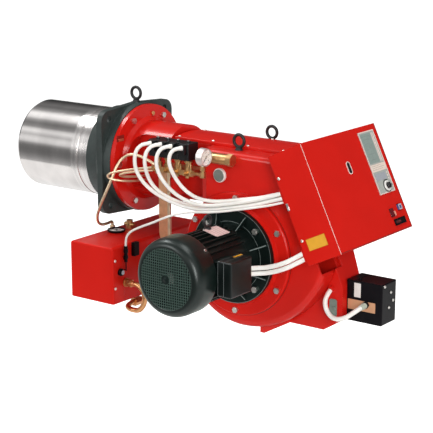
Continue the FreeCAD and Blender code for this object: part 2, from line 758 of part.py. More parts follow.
def make_burner_body():
    flange = rod(BODY_FLANGE_R, V(FLANGE_X, 0, 0), V(BODY_FACE, 0, 0))
    head = Part.makeCylinder(HEAD_R, HEAD_END - BODY_FACE, V(BODY_FACE, 0, 0), AX)
    root = Part.makeCone(HEAD_R + HEAD_ROOT, HEAD_R, HEAD_ROOT, V(BODY_FACE, 0, 0), AX)
    neck = Part.Face(neck_section(0, NECK_START)).extrude(AX * FAR)
    scroll = scroll_solid(0, SCROLL_FRONT, SCROLL_BACK)
    front = [edge for edge in scroll.Edges
             if abs(edge.BoundBox.YMax - SCROLL_FRONT) < 0.01 and edge.BoundBox.XLength > 1
             and (edge.BoundBox.XMax > FAN_X - SCROLL_R0 / 2 or edge.Length > SCROLL_R0)]
    scroll = scroll.makeFillet(SCROLL_EDGE, front)
    body = fused([flange, head, root, neck, scroll, make_cheek(), make_foot()])
    duct = Part.Face(neck_section(BODY_WALL, NECK_START + BODY_WALL)).extrude(AX * FAR)
    room = [rod(HEAD_R - BODY_WALL, AX * (FLANGE_X - PAST), AX * (HEAD_END - BODY_WALL)),
            duct.cut(behind_rear(BODY_WALL)),
            scroll_solid(BODY_WALL, SCROLL_FRONT + BODY_WALL, SCROLL_BACK - BODY_WALL)]
    lid_hole = block(LID_OPENING_START, LID_OPENING_END, -LID_OPENING_HALF, LID_OPENING_HALF,
                     NECK_TOP / 2, NECK_TOP + PAST)
    pocket = pocket_solid(0)
    pocket_wall = pocket_solid(BODY_WALL).common(body)
    room = fused(room + [lid_hole]).cut(pocket_wall)
    body = body.cut(behind_rear()).cut(room).cut(pocket)
    body = body.cut(rod(MPLATE_SPIGOT_R + TUBE_SEAT, fan_point(SCROLL_FRONT - PAST),
                        fan_point(SCROLL_FRONT + BODY_WALL + PAST)))
    body = body.cut(rod(EYE_R, fan_point(SCROLL_BACK - BODY_WALL - PAST), fan_point(SCROLL_BACK + PAST)))
    sight = V(SIGHT_X, SCROLL_FRONT, SIGHT_Z)
    body = body.cut(rod(SIGHT_GLASS_R, sight - AY * PAST, sight + AY * (3 * BODY_WALL + RUN)))
    for place in around(FLANGE_BOLTS, FLANGE_BOLT_R, BODY_FACE, 0.0):
        body = body.cut(rod(HEX_SHANK_R, place - AX * (BODY_FLANGE_THICK + PAST), place + AX))
    for place in fan_ring(PLATE_BOLTS, PLATE_BOLT_R, SCROLL_FRONT, 30.0):
        body = body.cut(rod(HEX_SHANK_R, place - AY, place + AY * HEX_GRIP))
    for side in (-1, 1):
        body = body.cut(eye_bore(V(BODY_EYE_X, side * BODY_EYE_Y, NECK_TOP)))
    return body


def pocket_solid(grow):
    """Side pocket with a rounded upper front corner, grown by a wall where needed."""
    x0 = POCKET_START - grow
    x1 = POCKET_END + grow
    z0 = POCKET_BOTTOM - grow
    z1 = POCKET_TOP + grow
    r = POCKET_ROUND + grow
    y = -200.0
    edges = [Part.makeLine(V(x0, y, z0), V(x1, y, z0)), Part.makeLine(V(x1, y, z0), V(x1, y, z1)),
             Part.makeLine(V(x1, y, z1), V(x0 + r, y, z1)), arc_edge(V(x0 + r, y, z1 - r), r, 90, 180),
             Part.makeLine(V(x0, y, z1 - r), V(x0, y, z0))]
    return Part.Face(Part.Wire(Part.__sortEdges__(edges))).extrude(AY * (POCKET_FLOOR + grow - y))


def make_top_cover():
    base = NECK_TOP
    half = LID_HALF
    y_mid = V(LID_START, 0, base + LID_EDGE + LID_CROWN)
    left = V(LID_START, -half, base + LID_EDGE)
    right = V(LID_START, half, base + LID_EDGE)
    edges = [Part.Arc(left, y_mid, right).toShape(), Part.makeLine(right, V(LID_START, half, base)),
             Part.makeLine(V(LID_START, half, base), V(LID_START, -half, base)),
             Part.makeLine(V(LID_START, -half, base), left)]
    lid = Part.Face(Part.Wire(Part.__sortEdges__(edges))).extrude(AX * (LID_END - LID_START))
    lid = lid.makeFillet(LID_ROUND, [e for e in lid.Edges if e.BoundBox.ZMin > base + LID_EDGE - 0.1])
    plug = block(LID_OPENING_START + FIT, LID_OPENING_END - FIT, FIT - LID_OPENING_HALF,
                 LID_OPENING_HALF - FIT, base - LID_PLUG, base)
    lid = lid.fuse(plug)
    for place in lid_screw_places():
        lid = lid.cut(rod(SCREW_R, place - AZ * SCREW_GRIP, place))
        lid = lid.cut(rod(SCREW_HEAD_R + 1, place, place + AZ * LID_CROWN))
    return lid


def lid_screw_places():
    """Screws along both edges of the top cover, at the height of its edge."""
    reach = LID_END - LID_START - 2 * LID_SCREW_EDGE
    places = []
    for step in range(LID_SCREWS_PER_SIDE):
        x = LID_START + LID_SCREW_EDGE + reach * step / (LID_SCREWS_PER_SIDE - 1)
        for side in (-1, 1):
            places.append(V(x, side * (LID_HALF - LID_SCREW_EDGE / 2), NECK_TOP + LID_EDGE))
    return places


def screw(base, axis):
    """Small round-head screw."""
    r, h = SCREW_HEAD_R, SCREW_HEAD_H
    profile = [(0, 0), (0, r), (h / 2, r), (h, r * 0.6), (h, 0)]
    head = turned(profile, base, axis, AX if abs(axis.x) < 0.7 else AY)
    return head.fuse(rod(SCREW_R, base - axis * SCREW_GRIP, base))


def make_diffuser(x):
    disc = rod(DIFFUSER_R, V(x, 0, 0), V(x + DIFFUSER_THICK, 0, 0))
    front = x - PAST
    back = x + DIFFUSER_THICK + PAST
    disc = disc.cut(rod(DIFFUSER_HOLE_R, AX * front, AX * back))
    half = DIFFUSER_SLOT_HALF
    for step in range(DIFFUSER_SLOTS):
        slot = block(front, back, -half, half, DIFFUSER_HOLE_R + 8, DIFFUSER_R - 10)
        slot.rotate(V(0, 0, 0), AX, 360.0 * step / DIFFUSER_SLOTS)
        disc = disc.cut(slot)
    for y in (-ELECTRODE_SPREAD / 2, ELECTRODE_SPREAD / 2):
        disc = disc.cut(rod(ELECTRODE_WIRE_R * 2, V(front, y, ELECTRODE_Z), V(back, y, ELECTRODE_Z)))
    return disc


def make_lance(x):
    """Oil lance with its nozzle block, nozzles, three struts to the tube and the rear support."""
    block_x = x + DIFFUSER_THICK + 6
    core = rod(NOZZLE_RING_R + NOZZLE_R + 1, AX * block_x, AX * (block_x + LANCE_BLOCK))
    bar = rod(LANCE_R, AX * (block_x + LANCE_BLOCK - 6), AX * LANCE_END)
    parts = [core, bar]
    for place in around(NOZZLES, NOZZLE_RING_R, block_x, 0.0):
        parts.append(hexagon(NOZZLE_R, place - AX * (NOZZLE_LENGTH - 14), AX * (NOZZLE_LENGTH - 12)))
    for step in range(LANCE_STRUTS):
        strut = block(block_x + 8, block_x + 20, -2.0, 2.0, NOZZLE_RING_R, TUBE_R - TUBE_WALL - TUBE_SEAT)
        strut.rotate(V(0, 0, 0), AX, 90 + 360.0 * step / LANCE_STRUTS)
        parts.append(strut)
    half = LANCE_R / 2
    arm = block(x + DIFFUSER_THICK, block_x + 2, -half, half, NOZZLE_RING_R + 4, DIFFUSER_HOLE_R + 6)
    other = arm.copy()
    other.rotate(V(0, 0, 0), AX, 180)
    foot = block(LANCE_END - 14, LANCE_END - 6, -10, 10, NECK_BOTTOM + BODY_WALL, -LANCE_R + 3)
    return fused(parts + [arm, other, foot])


def make_electrodes(x):
    """Two ignition electrodes in their porcelain, side by side above the nozzles."""
    pair = []
    for side in (-1, 1):
        y = side * ELECTRODE_SPREAD / 2
        z = ELECTRODE_Z
        bend = V(x - ELECTRODE_REACH, y, z)
        body = rod(ELECTRODE_R, V(x + ELECTRODE_FRONT, y, z), V(x + ELECTRODE_BACK, y, z))
        wire = rod(ELECTRODE_WIRE_R, bend, V(x + ELECTRODE_FRONT + 1, y, z))
        tip = rod(ELECTRODE_WIRE_R, bend, V(x - 2 * ELECTRODE_REACH, side * 2.5, z - 8))
        knee = Part.makeSphere(ELECTRODE_WIRE_R, bend)
        pair.append(fused([body, wire, tip, knee]))
    return pair


def make_electrode_holder(x):
    """Saddle that clamps the porcelains on the lance."""
    z = ELECTRODE_Z
    x0 = x + HOLDER_START
    x1 = x0 + HOLDER_LENGTH
    half = ELECTRODE_SPREAD / 2 + ELECTRODE_R + 4
    saddle = block(x0, x1, -half, half, LANCE_R - 4, z + ELECTRODE_R + 3)
    saddle = saddle.cut(rod(LANCE_R, AX * (x0 - PAST), AX * (x1 + PAST)))
    for side in (-1, 1):
        y = side * ELECTRODE_SPREAD / 2
        saddle = saddle.cut(rod(ELECTRODE_R, V(x0 - PAST, y, z), V(x1 + PAST, y, z)))
    return saddle


def make_motor_plate():
    back = SCROLL_FRONT
    front = back - MPLATE_THICK
    plate = turned([(0, 0), (0, MPLATE_R), (MPLATE_THICK - 3, MPLATE_R), (MPLATE_THICK, MPLATE_R - 3),
                    (MPLATE_THICK, MPLATE_BOSS_R + 4), (MPLATE_THICK + MPLATE_BOSS, MPLATE_BOSS_R),
                    (MPLATE_THICK + MPLATE_BOSS, 0)], fan_point(back), AY * -1, AX)
    plate = plate.fuse(rod(MPLATE_SPIGOT_R, fan_point(back), fan_point(back + BODY_WALL)))
    plate = plate.cut(rod(MPLATE_BOSS_R - 18, fan_point(back + BODY_WALL + PAST), fan_point(MFLANGE_Y + 8)))
    plate = plate.cut(rod(SPIGOT_R, fan_point(back), fan_point(MFLANGE_Y - PAST)))
    for place in fan_ring(PLATE_BOLTS, PLATE_BOLT_R, front, 30.0):
        plate = plate.cut(rod(HEX_SHANK_R, place - AY, place + AY * (MPLATE_THICK + 2)))
    for place in fan_ring(MFLANGE_BOLTS, MFLANGE_PCD_R, MFLANGE_Y, 45.0):
        plate = plate.cut(rod(HEX_SHANK_R, place - AY, place + AY * (HEX_GRIP + PAST)))
    return plate


def make_motor_flange():
    """End shield with its mounting flange, spigot, bearing seat and cast ribs."""
    face = MFLANGE_Y
    back = face - MFLANGE_THICK
    seat = back - SHIELD_LENGTH
    shield = turned([(-SPIGOT_DEPTH, 0), (-SPIGOT_DEPTH, SPIGOT_R - FIT), (0, SPIGOT_R - FIT), (0, MFLANGE_R),
                     (MFLANGE_THICK, MFLANGE_R), (MFLANGE_THICK, SHIELD_R),
                     (MFLANGE_THICK + SHIELD_LENGTH, SHIELD_R - 2), (MFLANGE_THICK + SHIELD_LENGTH, 0)],
                    fan_point(face), AY * -1, AX)
    ribs = []
    for place in fan_ring(SHIELD_RIBS, 1.0, seat, 22.5):
        out = place.sub(fan_point(seat))
        side = out.cross(AY) * (RIB_THICK / 2.0)
        base = fan_point(back)
        foot = SHIELD_R - 6
        corners = [base + out * foot, base + out * (MFLANGE_R - 5), base + out * foot - AY * RIB_HEIGHT]
        ribs.append(slab([c - side for c in corners], side * 2))
    shield = fused([shield] + ribs)
    shield = shield.cut(rod(SHAFT_R + RUN / 2, fan_point(face + SPIGOT_DEPTH + PAST), fan_point(seat - PAST)))
    for place in fan_ring(MFLANGE_BOLTS, MFLANGE_PCD_R, face, 45.0):
        head = place - AY * MFLANGE_THICK
        shield = shield.cut(rod(HEX_SHANK_R, place + AY, head - AY * PAST))
        shield = shield.cut(rod(HEX_HEAD_R + 3, head, head - AY * SHIELD_LENGTH))
    return shield


def cowl_lugs(end):
    """Four lugs at the frame's free end, on which the cowl sits."""
    band = ring(COWL_R - COWL_SHEET, FRAME_R - FIN_THICK, fan_point(end), fan_point(end + COWL_LUG))
    bars = []
    for turn in (45, 135):
        bar = block(FAN_X - COWL_R, FAN_X + COWL_R, end, end + COWL_LUG, FAN_Z - COWL_LUG_HALF,
                    FAN_Z + COWL_LUG_HALF)
        bar.rotate(fan_point(0), AY, turn)
        bars.append(bar)
    return band.common(fused(bars)).Solids


def make_motor_frame():
    """Finned motor housing, with the flat that carries the terminal box and the pad of the lifting eye."""
    front = MFLANGE_Y - MFLANGE_THICK - SHIELD_LENGTH
    end = front - FRAME_LENGTH
    shell = rod(FRAME_R, fan_point(front), fan_point(end))
    parts = [shell]
    inner = FRAME_R - 3
    for step in range(int(360 / FIN_STEP)):
        angle = FIN_STEP * step
        if min(angle, 360 - angle) < FIN_FREE:
            continue
        fin = block(FAN_X + inner, FAN_X + FRAME_FIN_TIP, end + FIN_END, front - FIN_END,
                    FAN_Z - FIN_THICK / 2, FAN_Z + FIN_THICK / 2)
        fin.rotate(fan_point(0), AY, -angle)
        parts.append(fin)
    half = TERM_HALF - TERM_EDGE
    seat = block(FAN_X + FRAME_R / 2, TERM_SEAT, TERM_Y0 + TERM_EDGE, TERM_Y1 - TERM_EDGE, FAN_Z - half,
                 FAN_Z + half)
    pad = rod(EYE_COLLAR_R + 2, V(FAN_X, MOTOR_EYE_Y, FAN_Z + FRAME_R - 6), MOTOR_EYE)
    frame = fused(parts + [seat, pad] + cowl_lugs(end))
    frame = frame.cut(rod(SHAFT_R + RUN / 2, fan_point(front + PAST), fan_point(end - PAST)))
    return frame.cut(eye_bore(MOTOR_EYE))


def cowl_form(inset):
    """Cup with a rounded edge: the cowl's outside, or its inside when inset by the sheet."""
    k = math.sqrt(0.5)
    r = COWL_ROUND - inset
    corner = V(FAN_X + COWL_R - COWL_ROUND, COWL_END + COWL_ROUND, FAN_Z)
    pole = fan_point(COWL_END + inset)
    rim = V(FAN_X + COWL_R - inset, COWL_START, FAN_Z)
    mouth = fan_point(COWL_START)
    edges = [Part.makeLine(pole, corner - AY * r),
             Part.Arc(corner - AY * r, corner + V(r * k, -r * k, 0), corner + AX * r).toShape(),
             Part.makeLine(corner + AX * r, rim), Part.makeLine(rim, mouth), Part.makeLine(mouth, pole)]
    return Part.Face(Part.Wire(edges)).revolve(fan_point(0), AY, 360)


def make_cowl():
    """Pressed fan cowl with a grid of square holes in its end."""
    end = COWL_END
    cowl = cowl_form(0).cut(cowl_form(COWL_SHEET))
    holes = []
    count = int(GRILLE_R / GRILLE_PITCH)
    half = GRILLE_HOLE / 2
    for i in range(-count, count + 1):
        for j in range(-count, count + 1):
            x = i * GRILLE_PITCH
            z = j * GRILLE_PITCH
            reach = math.hypot(x, z)
            if GRILLE_HUB_R < reach < GRILLE_R - half:
                holes.append(block(FAN_X + x - half, FAN_X + x + half, end - PAST, end + COWL_SHEET + PAST,
                                   FAN_Z + z - half, FAN_Z + z + half))
    return cowl.cut(Part.makeCompound(holes))


def make_shaft():
    """Motor shaft with the nut of the fan wheel and the thin end that drives the pump."""
    nut_y = FAN_HUB_BACK + 6
    shaft = rod(SHAFT_R, fan_point(nut_y), fan_point(COOLER_Y + 6))
    coupling = rod(PUMP_SHAFT_R, fan_point(nut_y), fan_point(INTAKE_BACK + PUMP_LENGTH / 2))
    return fused([shaft, hexagon(SHAFT_R, fan_point(nut_y), AY * 8), coupling])


def make_impeller():
    """Backward-curved fan wheel: hub, back disc, blades and the ring round its inlet."""
    disc_y = FAN_FRONT
    disc = rod(FAN_R, fan_point(disc_y), fan_point(disc_y + FAN_DISC))
    hub = rod(FAN_HUB_R, fan_point(disc_y), fan_point(FAN_HUB_BACK))
    shroud = ring(FAN_R, EYE_R - RUN, fan_point(FAN_BACK - FAN_DISC), fan_point(FAN_BACK))
    parts = [disc, hub, shroud]
    for step in range(FAN_BLADES):
        turn = 360.0 * step / FAN_BLADES
        blade = make_blade(disc_y + FAN_DISC - 0.5, FAN_BACK - FAN_DISC + 0.5)
        blade.rotate(fan_point(0), AY, turn)
        parts.append(blade)
    wheel = fused(parts)
    return wheel.cut(rod(SHAFT_R, fan_point(disc_y - 1), fan_point(FAN_BACK)))


def make_blade(y0, y1):
    """Blade curved backward between the inner and the outer radius of the fan."""
    points = []
    for share in (0.0, 0.5, 1.0):
        radius = BLADE_INNER_R + (FAN_R - 3.0 - BLADE_INNER_R) * share
        angle = math.radians(BLADE_SWEEP * share ** 1.4)
        points.append(V(FAN_X + radius * math.cos(angle), y0, FAN_Z - radius * math.sin(angle)))
    start, middle, end = points
    lean = V(FAN_BLADE_THICK * 0.6, 0, FAN_BLADE_THICK * 0.8)
    edges = [Part.Arc(start, middle, end).toShape(), Part.makeLine(end, end + lean),
             Part.Arc(end + lean, middle + lean, start + lean).toShape(), Part.makeLine(start + lean, start)]
    return Part.Face(Part.Wire(edges)).extrude(AY * (y1 - y0))


def make_cooler():
    """Radial fan at the motor's free end."""
    hub = rod(COOLER_HUB_R, fan_point(COOLER_Y), fan_point(COOLER_Y + COOLER_WIDTH))
    parts = [hub]
    for step in range(COOLER_BLADES):
        blade = block(FAN_X + COOLER_HUB_R - 4, FAN_X + COOLER_R, COOLER_Y + 2, COOLER_Y + COOLER_WIDTH,
                      FAN_Z - COOLER_BLADE_THICK / 2, FAN_Z + COOLER_BLADE_THICK / 2)
        blade.rotate(fan_point(0), AY, 360.0 * step / COOLER_BLADES)
        parts.append(blade)
    cooler = fused(parts)
    return cooler.cut(rod(SHAFT_R, fan_point(COOLER_Y - PAST), fan_point(COOLER_Y + COOLER_WIDTH + PAST)))


def make_terminal_box():
    x0 = TERM_SEAT
    x1 = x0 + TERM_BASE
    half = TERM_HALF
    box = block(x0, x1, TERM_Y0, TERM_Y1, FAN_Z - half, FAN_Z + half)
    box = box.makeFillet(5.0, [e for e in box.Edges if abs(e.BoundBox.XLength - TERM_BASE) < 0.01])
    g = TERM_GASKET
    rim = block(x1, x1 + g, TERM_Y0 + g, TERM_Y1 - g, FAN_Z - half + g, FAN_Z + half - g)
    glands = [hexagon(TERM_GLAND_R, V((x0 + x1) / 2, TERM_Y1, z), AY * GLAND_LENGTH) for z in TERM_GLANDS]
    return fused([box, rim] + glands)


def make_terminal_lid():
    x0 = TERM_SEAT + TERM_BASE + TERM_GASKET
    x1 = TERM_SEAT + TERM_BASE + TERM_LID
    half = TERM_HALF
    lid = block(x0, x1, TERM_Y0, TERM_Y1, FAN_Z - half, FAN_Z + half)
    return lid.makeFillet(4.0, [e for e in lid.Edges if e.BoundBox.XMax > x0 + 0.1])


def coil_x(index):
    return COIL_FIRST_X + COIL_PITCH * (index + 0.5)


def make_coil(index):
    """Encapsulated coil with its nut on top and the square plug on its front."""
    x = coil_x(index)
    half = COIL_WIDTH / 2.0
    bottom = COIL_TOP - COIL_HEIGHT
    coil = block(x - half, x + half, COIL_Y0, COIL_Y0 + COIL_DEPTH, bottom, COIL_TOP)
    coil = coil.makeFillet(3.0, [e for e in coil.Edges if abs(e.BoundBox.ZLength - COIL_HEIGHT) < 0.01])
    top = V(x, COIL_Y0 + COIL_DEPTH / 2, COIL_TOP)
    nut = rod(COIL_NUT_R, top, top + AZ * COIL_NUT_H)
    plug_z = COIL_TOP - 1
    plug = block(x - PLUG_WIDTH / 2, x + PLUG_WIDTH / 2, COIL_Y0 - PLUG_DEPTH, COIL_Y0,
                 plug_z - PLUG_HEIGHT, plug_z)
    return fused([coil, nut, plug])


def make_manifold():
    """Brass valve bar under the coils, with two rows of small fittings and the pipe to the pressure gauge."""
    coil_foot = COIL_TOP - COIL_HEIGHT
    x0 = COIL_FIRST_X + BAR_END
    x1 = COIL_FIRST_X + COIL_PITCH * COILS - BAR_END
    bar_top = BAR_Z + BAR_HEIGHT
    middle = (BAR_LOW + bar_top) / 2
    y_mid = COIL_Y0 + COIL_DEPTH / 2
    parts = [block(x0, x1, BAR_Y0, BAR_Y1, BAR_LOW, bar_top)]
    for index in range(COILS):
        x = coil_x(index)
        stem = V(x, y_mid, bar_top)
        parts.append(hexagon(STEM_NUT_R, stem - AZ, AZ * 10))
        parts.append(rod(STEM_R, stem, V(x, y_mid, coil_foot)))
        parts.append(hexagon(STEM_NUT_R, V(x, y_mid, coil_foot - 9), AZ * 7))
        parts.append(hexagon(TEST_PLUG_R, V(x, BAR_Y0 + 1, middle), AY * -8))
        parts.append(rod(TEST_PLUG_R - 3, V(x, BAR_Y0, middle), V(x, BAR_Y0 - 12, middle)))
        if abs(x - RETURN_X) > TEST_PLUG_R + RETURN_NUT_R:
            parts.append(hexagon(TEST_PLUG_R, V(x, BAR_Y0 + 8, BAR_LOW + 1), AZ * -8))
        side = V(x + COIL_PITCH / 2 - CHECK_VALVE_R, BAR_Y0 + CHECK_VALVE_R + 1, bar_top - 1)
        parts.append(hexagon(CHECK_VALVE_R, side, AZ * 9))
        parts.append(rod(CHECK_VALVE_R - 2.5, side, side + AZ * 15))
    back = block(x0 + 8, x1 - 8, BAR_Y1 - 1, POCKET_FLOOR, BAR_LOW, BAR_LOW + BAR_HEIGHT / 2)
    return fused(parts + [back] + gauge_line(V(x1 - 4, BAR_Y0 + 6, middle), coil_foot))


def gauge_line(outlet, high):
    """Upright vent at the end of the valve bar, and the pipe, elbow and stem of the pressure gauge."""
    foot = V(GAUGE_STEM_X, GAUGE_Y, GAUGE_PIPE_Z)
    under = GAUGE_Z - GAUGE_R
    elbow_r = 2 * GAUGE_PIPE_R - 1
    return [rod(GAUGE_PIPE_R, outlet, foot), hexagon(2 * GAUGE_PIPE_R, outlet, AX * 14),
            rod(NOZZLE_PIPE_R, outlet, V(outlet.x, outlet.y, high - 3)),
            hexagon(elbow_r, foot - AZ * 7, AZ * 14), rod(GAUGE_PIPE_R, foot, V(foot.x, foot.y, under - 5)),
            hexagon(elbow_r, V(foot.x, foot.y, under - 13), AZ * 12)]


def make_gauge_case():
    back = GAUGE_X - GAUGE_DEPTH
    centre = V(back, GAUGE_Y, GAUGE_Z)
    front = GAUGE_DEPTH + GAUGE_RIM_RISE
    inner = GAUGE_R - GAUGE_RIM
    case = turned([(0, 0), (0, GAUGE_R - 3), (3, GAUGE_R), (front, GAUGE_R), (front, inner),
                   (GAUGE_DEPTH, inner), (GAUGE_DEPTH, 0)], centre, AX, AZ)
    under = V(GAUGE_STEM_X, GAUGE_Y, GAUGE_Z - GAUGE_R)
    neck = rod(GAUGE_PIPE_R + 1, under + AZ * 3, under - AZ)
    dial = V(GAUGE_X, GAUGE_Y, GAUGE_Z)
    pin = rod(PIN_R, dial, dial + AX * (2 * NEEDLE_THICK))
    return fused([case, neck, pin])


def pointer(centre, axis, up, length, tail, thick, bore):
    """Flat needle on a small boss, turning about the pin of its dial."""
    side = axis.cross(up)
    boss = rod(2.6, centre, centre + axis * thick)
    needle = slab([centre - side * 1.1 - up * tail, centre + side * 1.1 - up * tail,
                   centre + side * 0.5 + up * length, centre - side * 0.5 + up * length], axis * thick)
    return fused([boss, needle]).cut(rod(bore, centre - axis, centre + axis * (thick + 1)))


def make_oil_cylinder():
    """Brass ram housing of the nozzle rod, its hexagon cap and the lug that holds it to the body wall."""
    start = V(CYL_START, CYL_Y, CYL_Z)
    cap_foot = V(CYL_END - CYL_CAP, CYL_Y, CYL_Z)
    barrel = rod(CYL_R, start, cap_foot + AX * 2)
    cap = hexagon(CYL_R + 2.5, cap_foot, AX * CYL_CAP, 30.0)
    inlet = rod(RETURN_PIPE_R, start - AX * 8, start + AX * 2)
    lug = block(CYL_START + 26, CYL_START + 42, CYL_Y, SCROLL_FRONT, CYL_Z - 12, CYL_Z - 1)
    return fused([barrel, cap, inlet, lug])


def make_sight_rim():
    face = V(SIGHT_X, SCROLL_FRONT, SIGHT_Z)
    seat = SIGHT_STAND - SIGHT_LIP
    mouth = SIGHT_GLASS_R - SIGHT_LIP / 2
    return turned([(0, SIGHT_GLASS_R), (0, SIGHT_R), (SIGHT_STAND - 2, SIGHT_R), (SIGHT_STAND, SIGHT_R - 2),
                   (SIGHT_STAND, mouth), (seat, mouth), (seat, SIGHT_GLASS_R)], face, AY * -1, AX)


def make_sight_glass():
    front = V(SIGHT_X, SCROLL_FRONT - SIGHT_STAND + SIGHT_LIP + FIT / 3, SIGHT_Z)
    return rod(SIGHT_GLASS_R - FIT / 3, front, front + AY * SIGHT_GLASS_THICK)


def make_pipes():
    """The two oil pipes that run from the valve block out past the head and back into its side."""
    x = COIL_FIRST_X + 2
    starts = (V(x, -132, BAR_Z + 11), V(x, -134, BAR_Z + 3))
    pipes = []
    for start, bends, end in zip(starts, (NOZZLE_PIPE_OUTER, NOZZLE_PIPE_INNER), NOZZLE_PIPE_ENDS):
        places = [start] + list(bends) + [(end[0], POCKET_FLOOR, end[1])]
        pipes.append(tube("nozzle pipe", places, 2 * NOZZLE_PIPE_R))
    return pipes


def make_preheater_pipe():
    end = V(PIPE_SEAT_X, PIPE_SEAT_Y, HEATER_TOP + PIPE_NUT_H - 2)
    start = (COIL_FIRST_X + 2, -120, BAR_Z + 14)
    places = [start] + list(PREHEATER_PIPE) + [(end.x, end.y, PREHEATER_PIPE[-1][2] + 2), end]
    pipe = tube("preheater pipe", places, 2 * THIN_PIPE_R)
    return fused([pipe, hexagon(PIPE_NUT_R, V(end.x, end.y, HEATER_TOP), AZ * PIPE_NUT_H)])


def make_copper_pipe():
    x = HEATER_X1 + ELBOW_LENGTH
    y = ELBOW_Y
    z = ELBOW_Z
    low = HEATER_BOTTOM - 2.2 * COPPER_R
    places = [(x, y, z), (x + 22, y, z), (x + 43, y, z - 19), (x + 43, y, z - 48), (x + 24, y, z - 72),
              (x - 8, y, z - 73), (x - 27, y + 10, z - 70), (x - 31, y + 34, low),
              (x - 29, PIPE_END_Y - 22, low), (x + 2, PIPE_END_Y, low), (FAN_X - 26, PIPE_END_Y, low),
              (FAN_X, PIPE_END_Y, low + 26), (FAN_X, PIPE_END_Y, PUMP_INLET_Z)]
    pipe = tube("copper pipe", places, 2 * COPPER_R)
    nut = hexagon(13.0, V(x - 30.6, y + 42, low), AY * 24)
    return fused([pipe, nut])


def make_return_pipe():
    x = RETURN_X
    y = RETURN_Y
    places = [(x, y, BAR_LOW), (x, y, RETURN_Z + 26), (x - 26, y, RETURN_Z), (HEATER_X1, y, RETURN_Z)]
    pipe = tube("return pipe", places, 2 * RETURN_PIPE_R)
    nut = hexagon(RETURN_NUT_R, V(x, y, BAR_LOW - 16), AZ * 14)
    end = hexagon(RETURN_NUT_R, V(HEATER_X1, y, RETURN_Z), AX * 14)
    return fused([pipe, nut, end])


def make_strap():
    """Flat hanger from the valve block down to the preheater, narrowed by a curve at its lower end."""
    x0, x1 = STRAP_X0, STRAP_X1
    waist = x1 - STRAP_WAIST
    y = STRAP_Y
    top = BAR_LOW
    low = STRAP_END
    step = low + STRAP_WAIST
    curve_end = STRAP_NARROW - STRAP_CURVE
    corners = [V(waist, y, curve_end), V(waist, y, step), V(HEATER_X1, y, step), V(HEATER_X1, y, low),
               V(x1, y, low), V(x1, y, top), V(x0, y, top), V(x0, y, STRAP_NARROW)]
    edges = [Part.makeLine(a, b) for a, b in zip(corners, corners[1:])]
    edges.append(Part.Arc(corners[-1], V(x0 + 6, y, STRAP_NARROW - STRAP_CURVE * 0.55), corners[0]).toShape())
    strap = Part.Face(Part.Wire(Part.__sortEdges__(edges))).extrude(AY * STRAP_THICK)
    leg = block(x0, x1, y, POCKET_FLOOR, top - STRAP_THICK, top)
    tab = block(HEATER_X1, HEATER_X1 + STRAP_THICK, y, y + STRAP_TAB, low, step)
    return fused([strap, leg, tab])


def make_tank():
    y0 = HEATER_Y0 + HEATER_COVER
    tank = block(HEATER_X0, HEATER_X1, y0, HEATER_Y1, HEATER_BOTTOM, HEATER_TOP)
    return tank.makeFillet(HEATER_ROUND, long_top_edges(tank, HEATER_Y1 - y0))


def long_top_edges(shape, length):
    """The upper edges that run across the preheater."""
    return [e for e in shape.Edges
            if e.BoundBox.ZMin > HEATER_TOP - 0.1 and abs(e.BoundBox.YLength - length) < 0.01]


def make_heater_cover():
    """End cover of the preheater, a shallow pan with rounded front edges."""
    y1 = HEATER_Y0 + HEATER_COVER - FIT
    cover = block(HEATER_X0, HEATER_X1, HEATER_Y0, y1, HEATER_BOTTOM, HEATER_TOP)
    cover = cover.makeFillet(HEATER_ROUND, long_top_edges(cover, y1 - HEATER_Y0))
    front = [e for e in cover.Edges
             if abs(e.BoundBox.YMax - HEATER_Y0) < 0.01 and e.BoundBox.ZMin > HEATER_BOTTOM + 1]
    cover = cover.makeFillet(HEATER_FRONT_ROUND, front)
    knob_seat = V(HEATER_X1, KNOB_Y, KNOB_Z)
    return cover.cut(rod(THERMOSTAT_SHAFT_R + FIT, knob_seat - AX * (THERMOSTAT_SHAFT + 3), knob_seat + AX))


def make_thermometer():
    """Dial thermometer on the preheater, with its rim and the pin of its pointer."""
    base = V(THERMO_X, THERMO_Y, HEATER_TOP)
    inner = THERMO_R - THERMO_RIM
    dial = THERMO_H - THERMO_SINK
    case = turned([(0, 0), (0, THERMO_R - 3), (3, THERMO_R), (THERMO_H, THERMO_R), (THERMO_H, inner),
                   (dial, inner), (dial, 0)], base, AZ, AX)
    return case.fuse(rod(PIN_R, base + AZ * dial, base + AZ * (dial + NEEDLE_GAP + NEEDLE_THICK)))


def make_relief_valve():
    """Relief valve on the preheater: hexagon, body with its cross pipe, and cap."""
    base = V(RELIEF_X, RELIEF_Y, HEATER_TOP)
    return fused([hexagon(11.0, base, AZ * 8), rod(7.0, base, base + AZ * 16),
                  rod(6.0, base + AZ * 11 - AX * 16, base + AZ * 11 + AX * 16),
                  rod(9.0, base + AZ * 16, base + AZ * 24)])


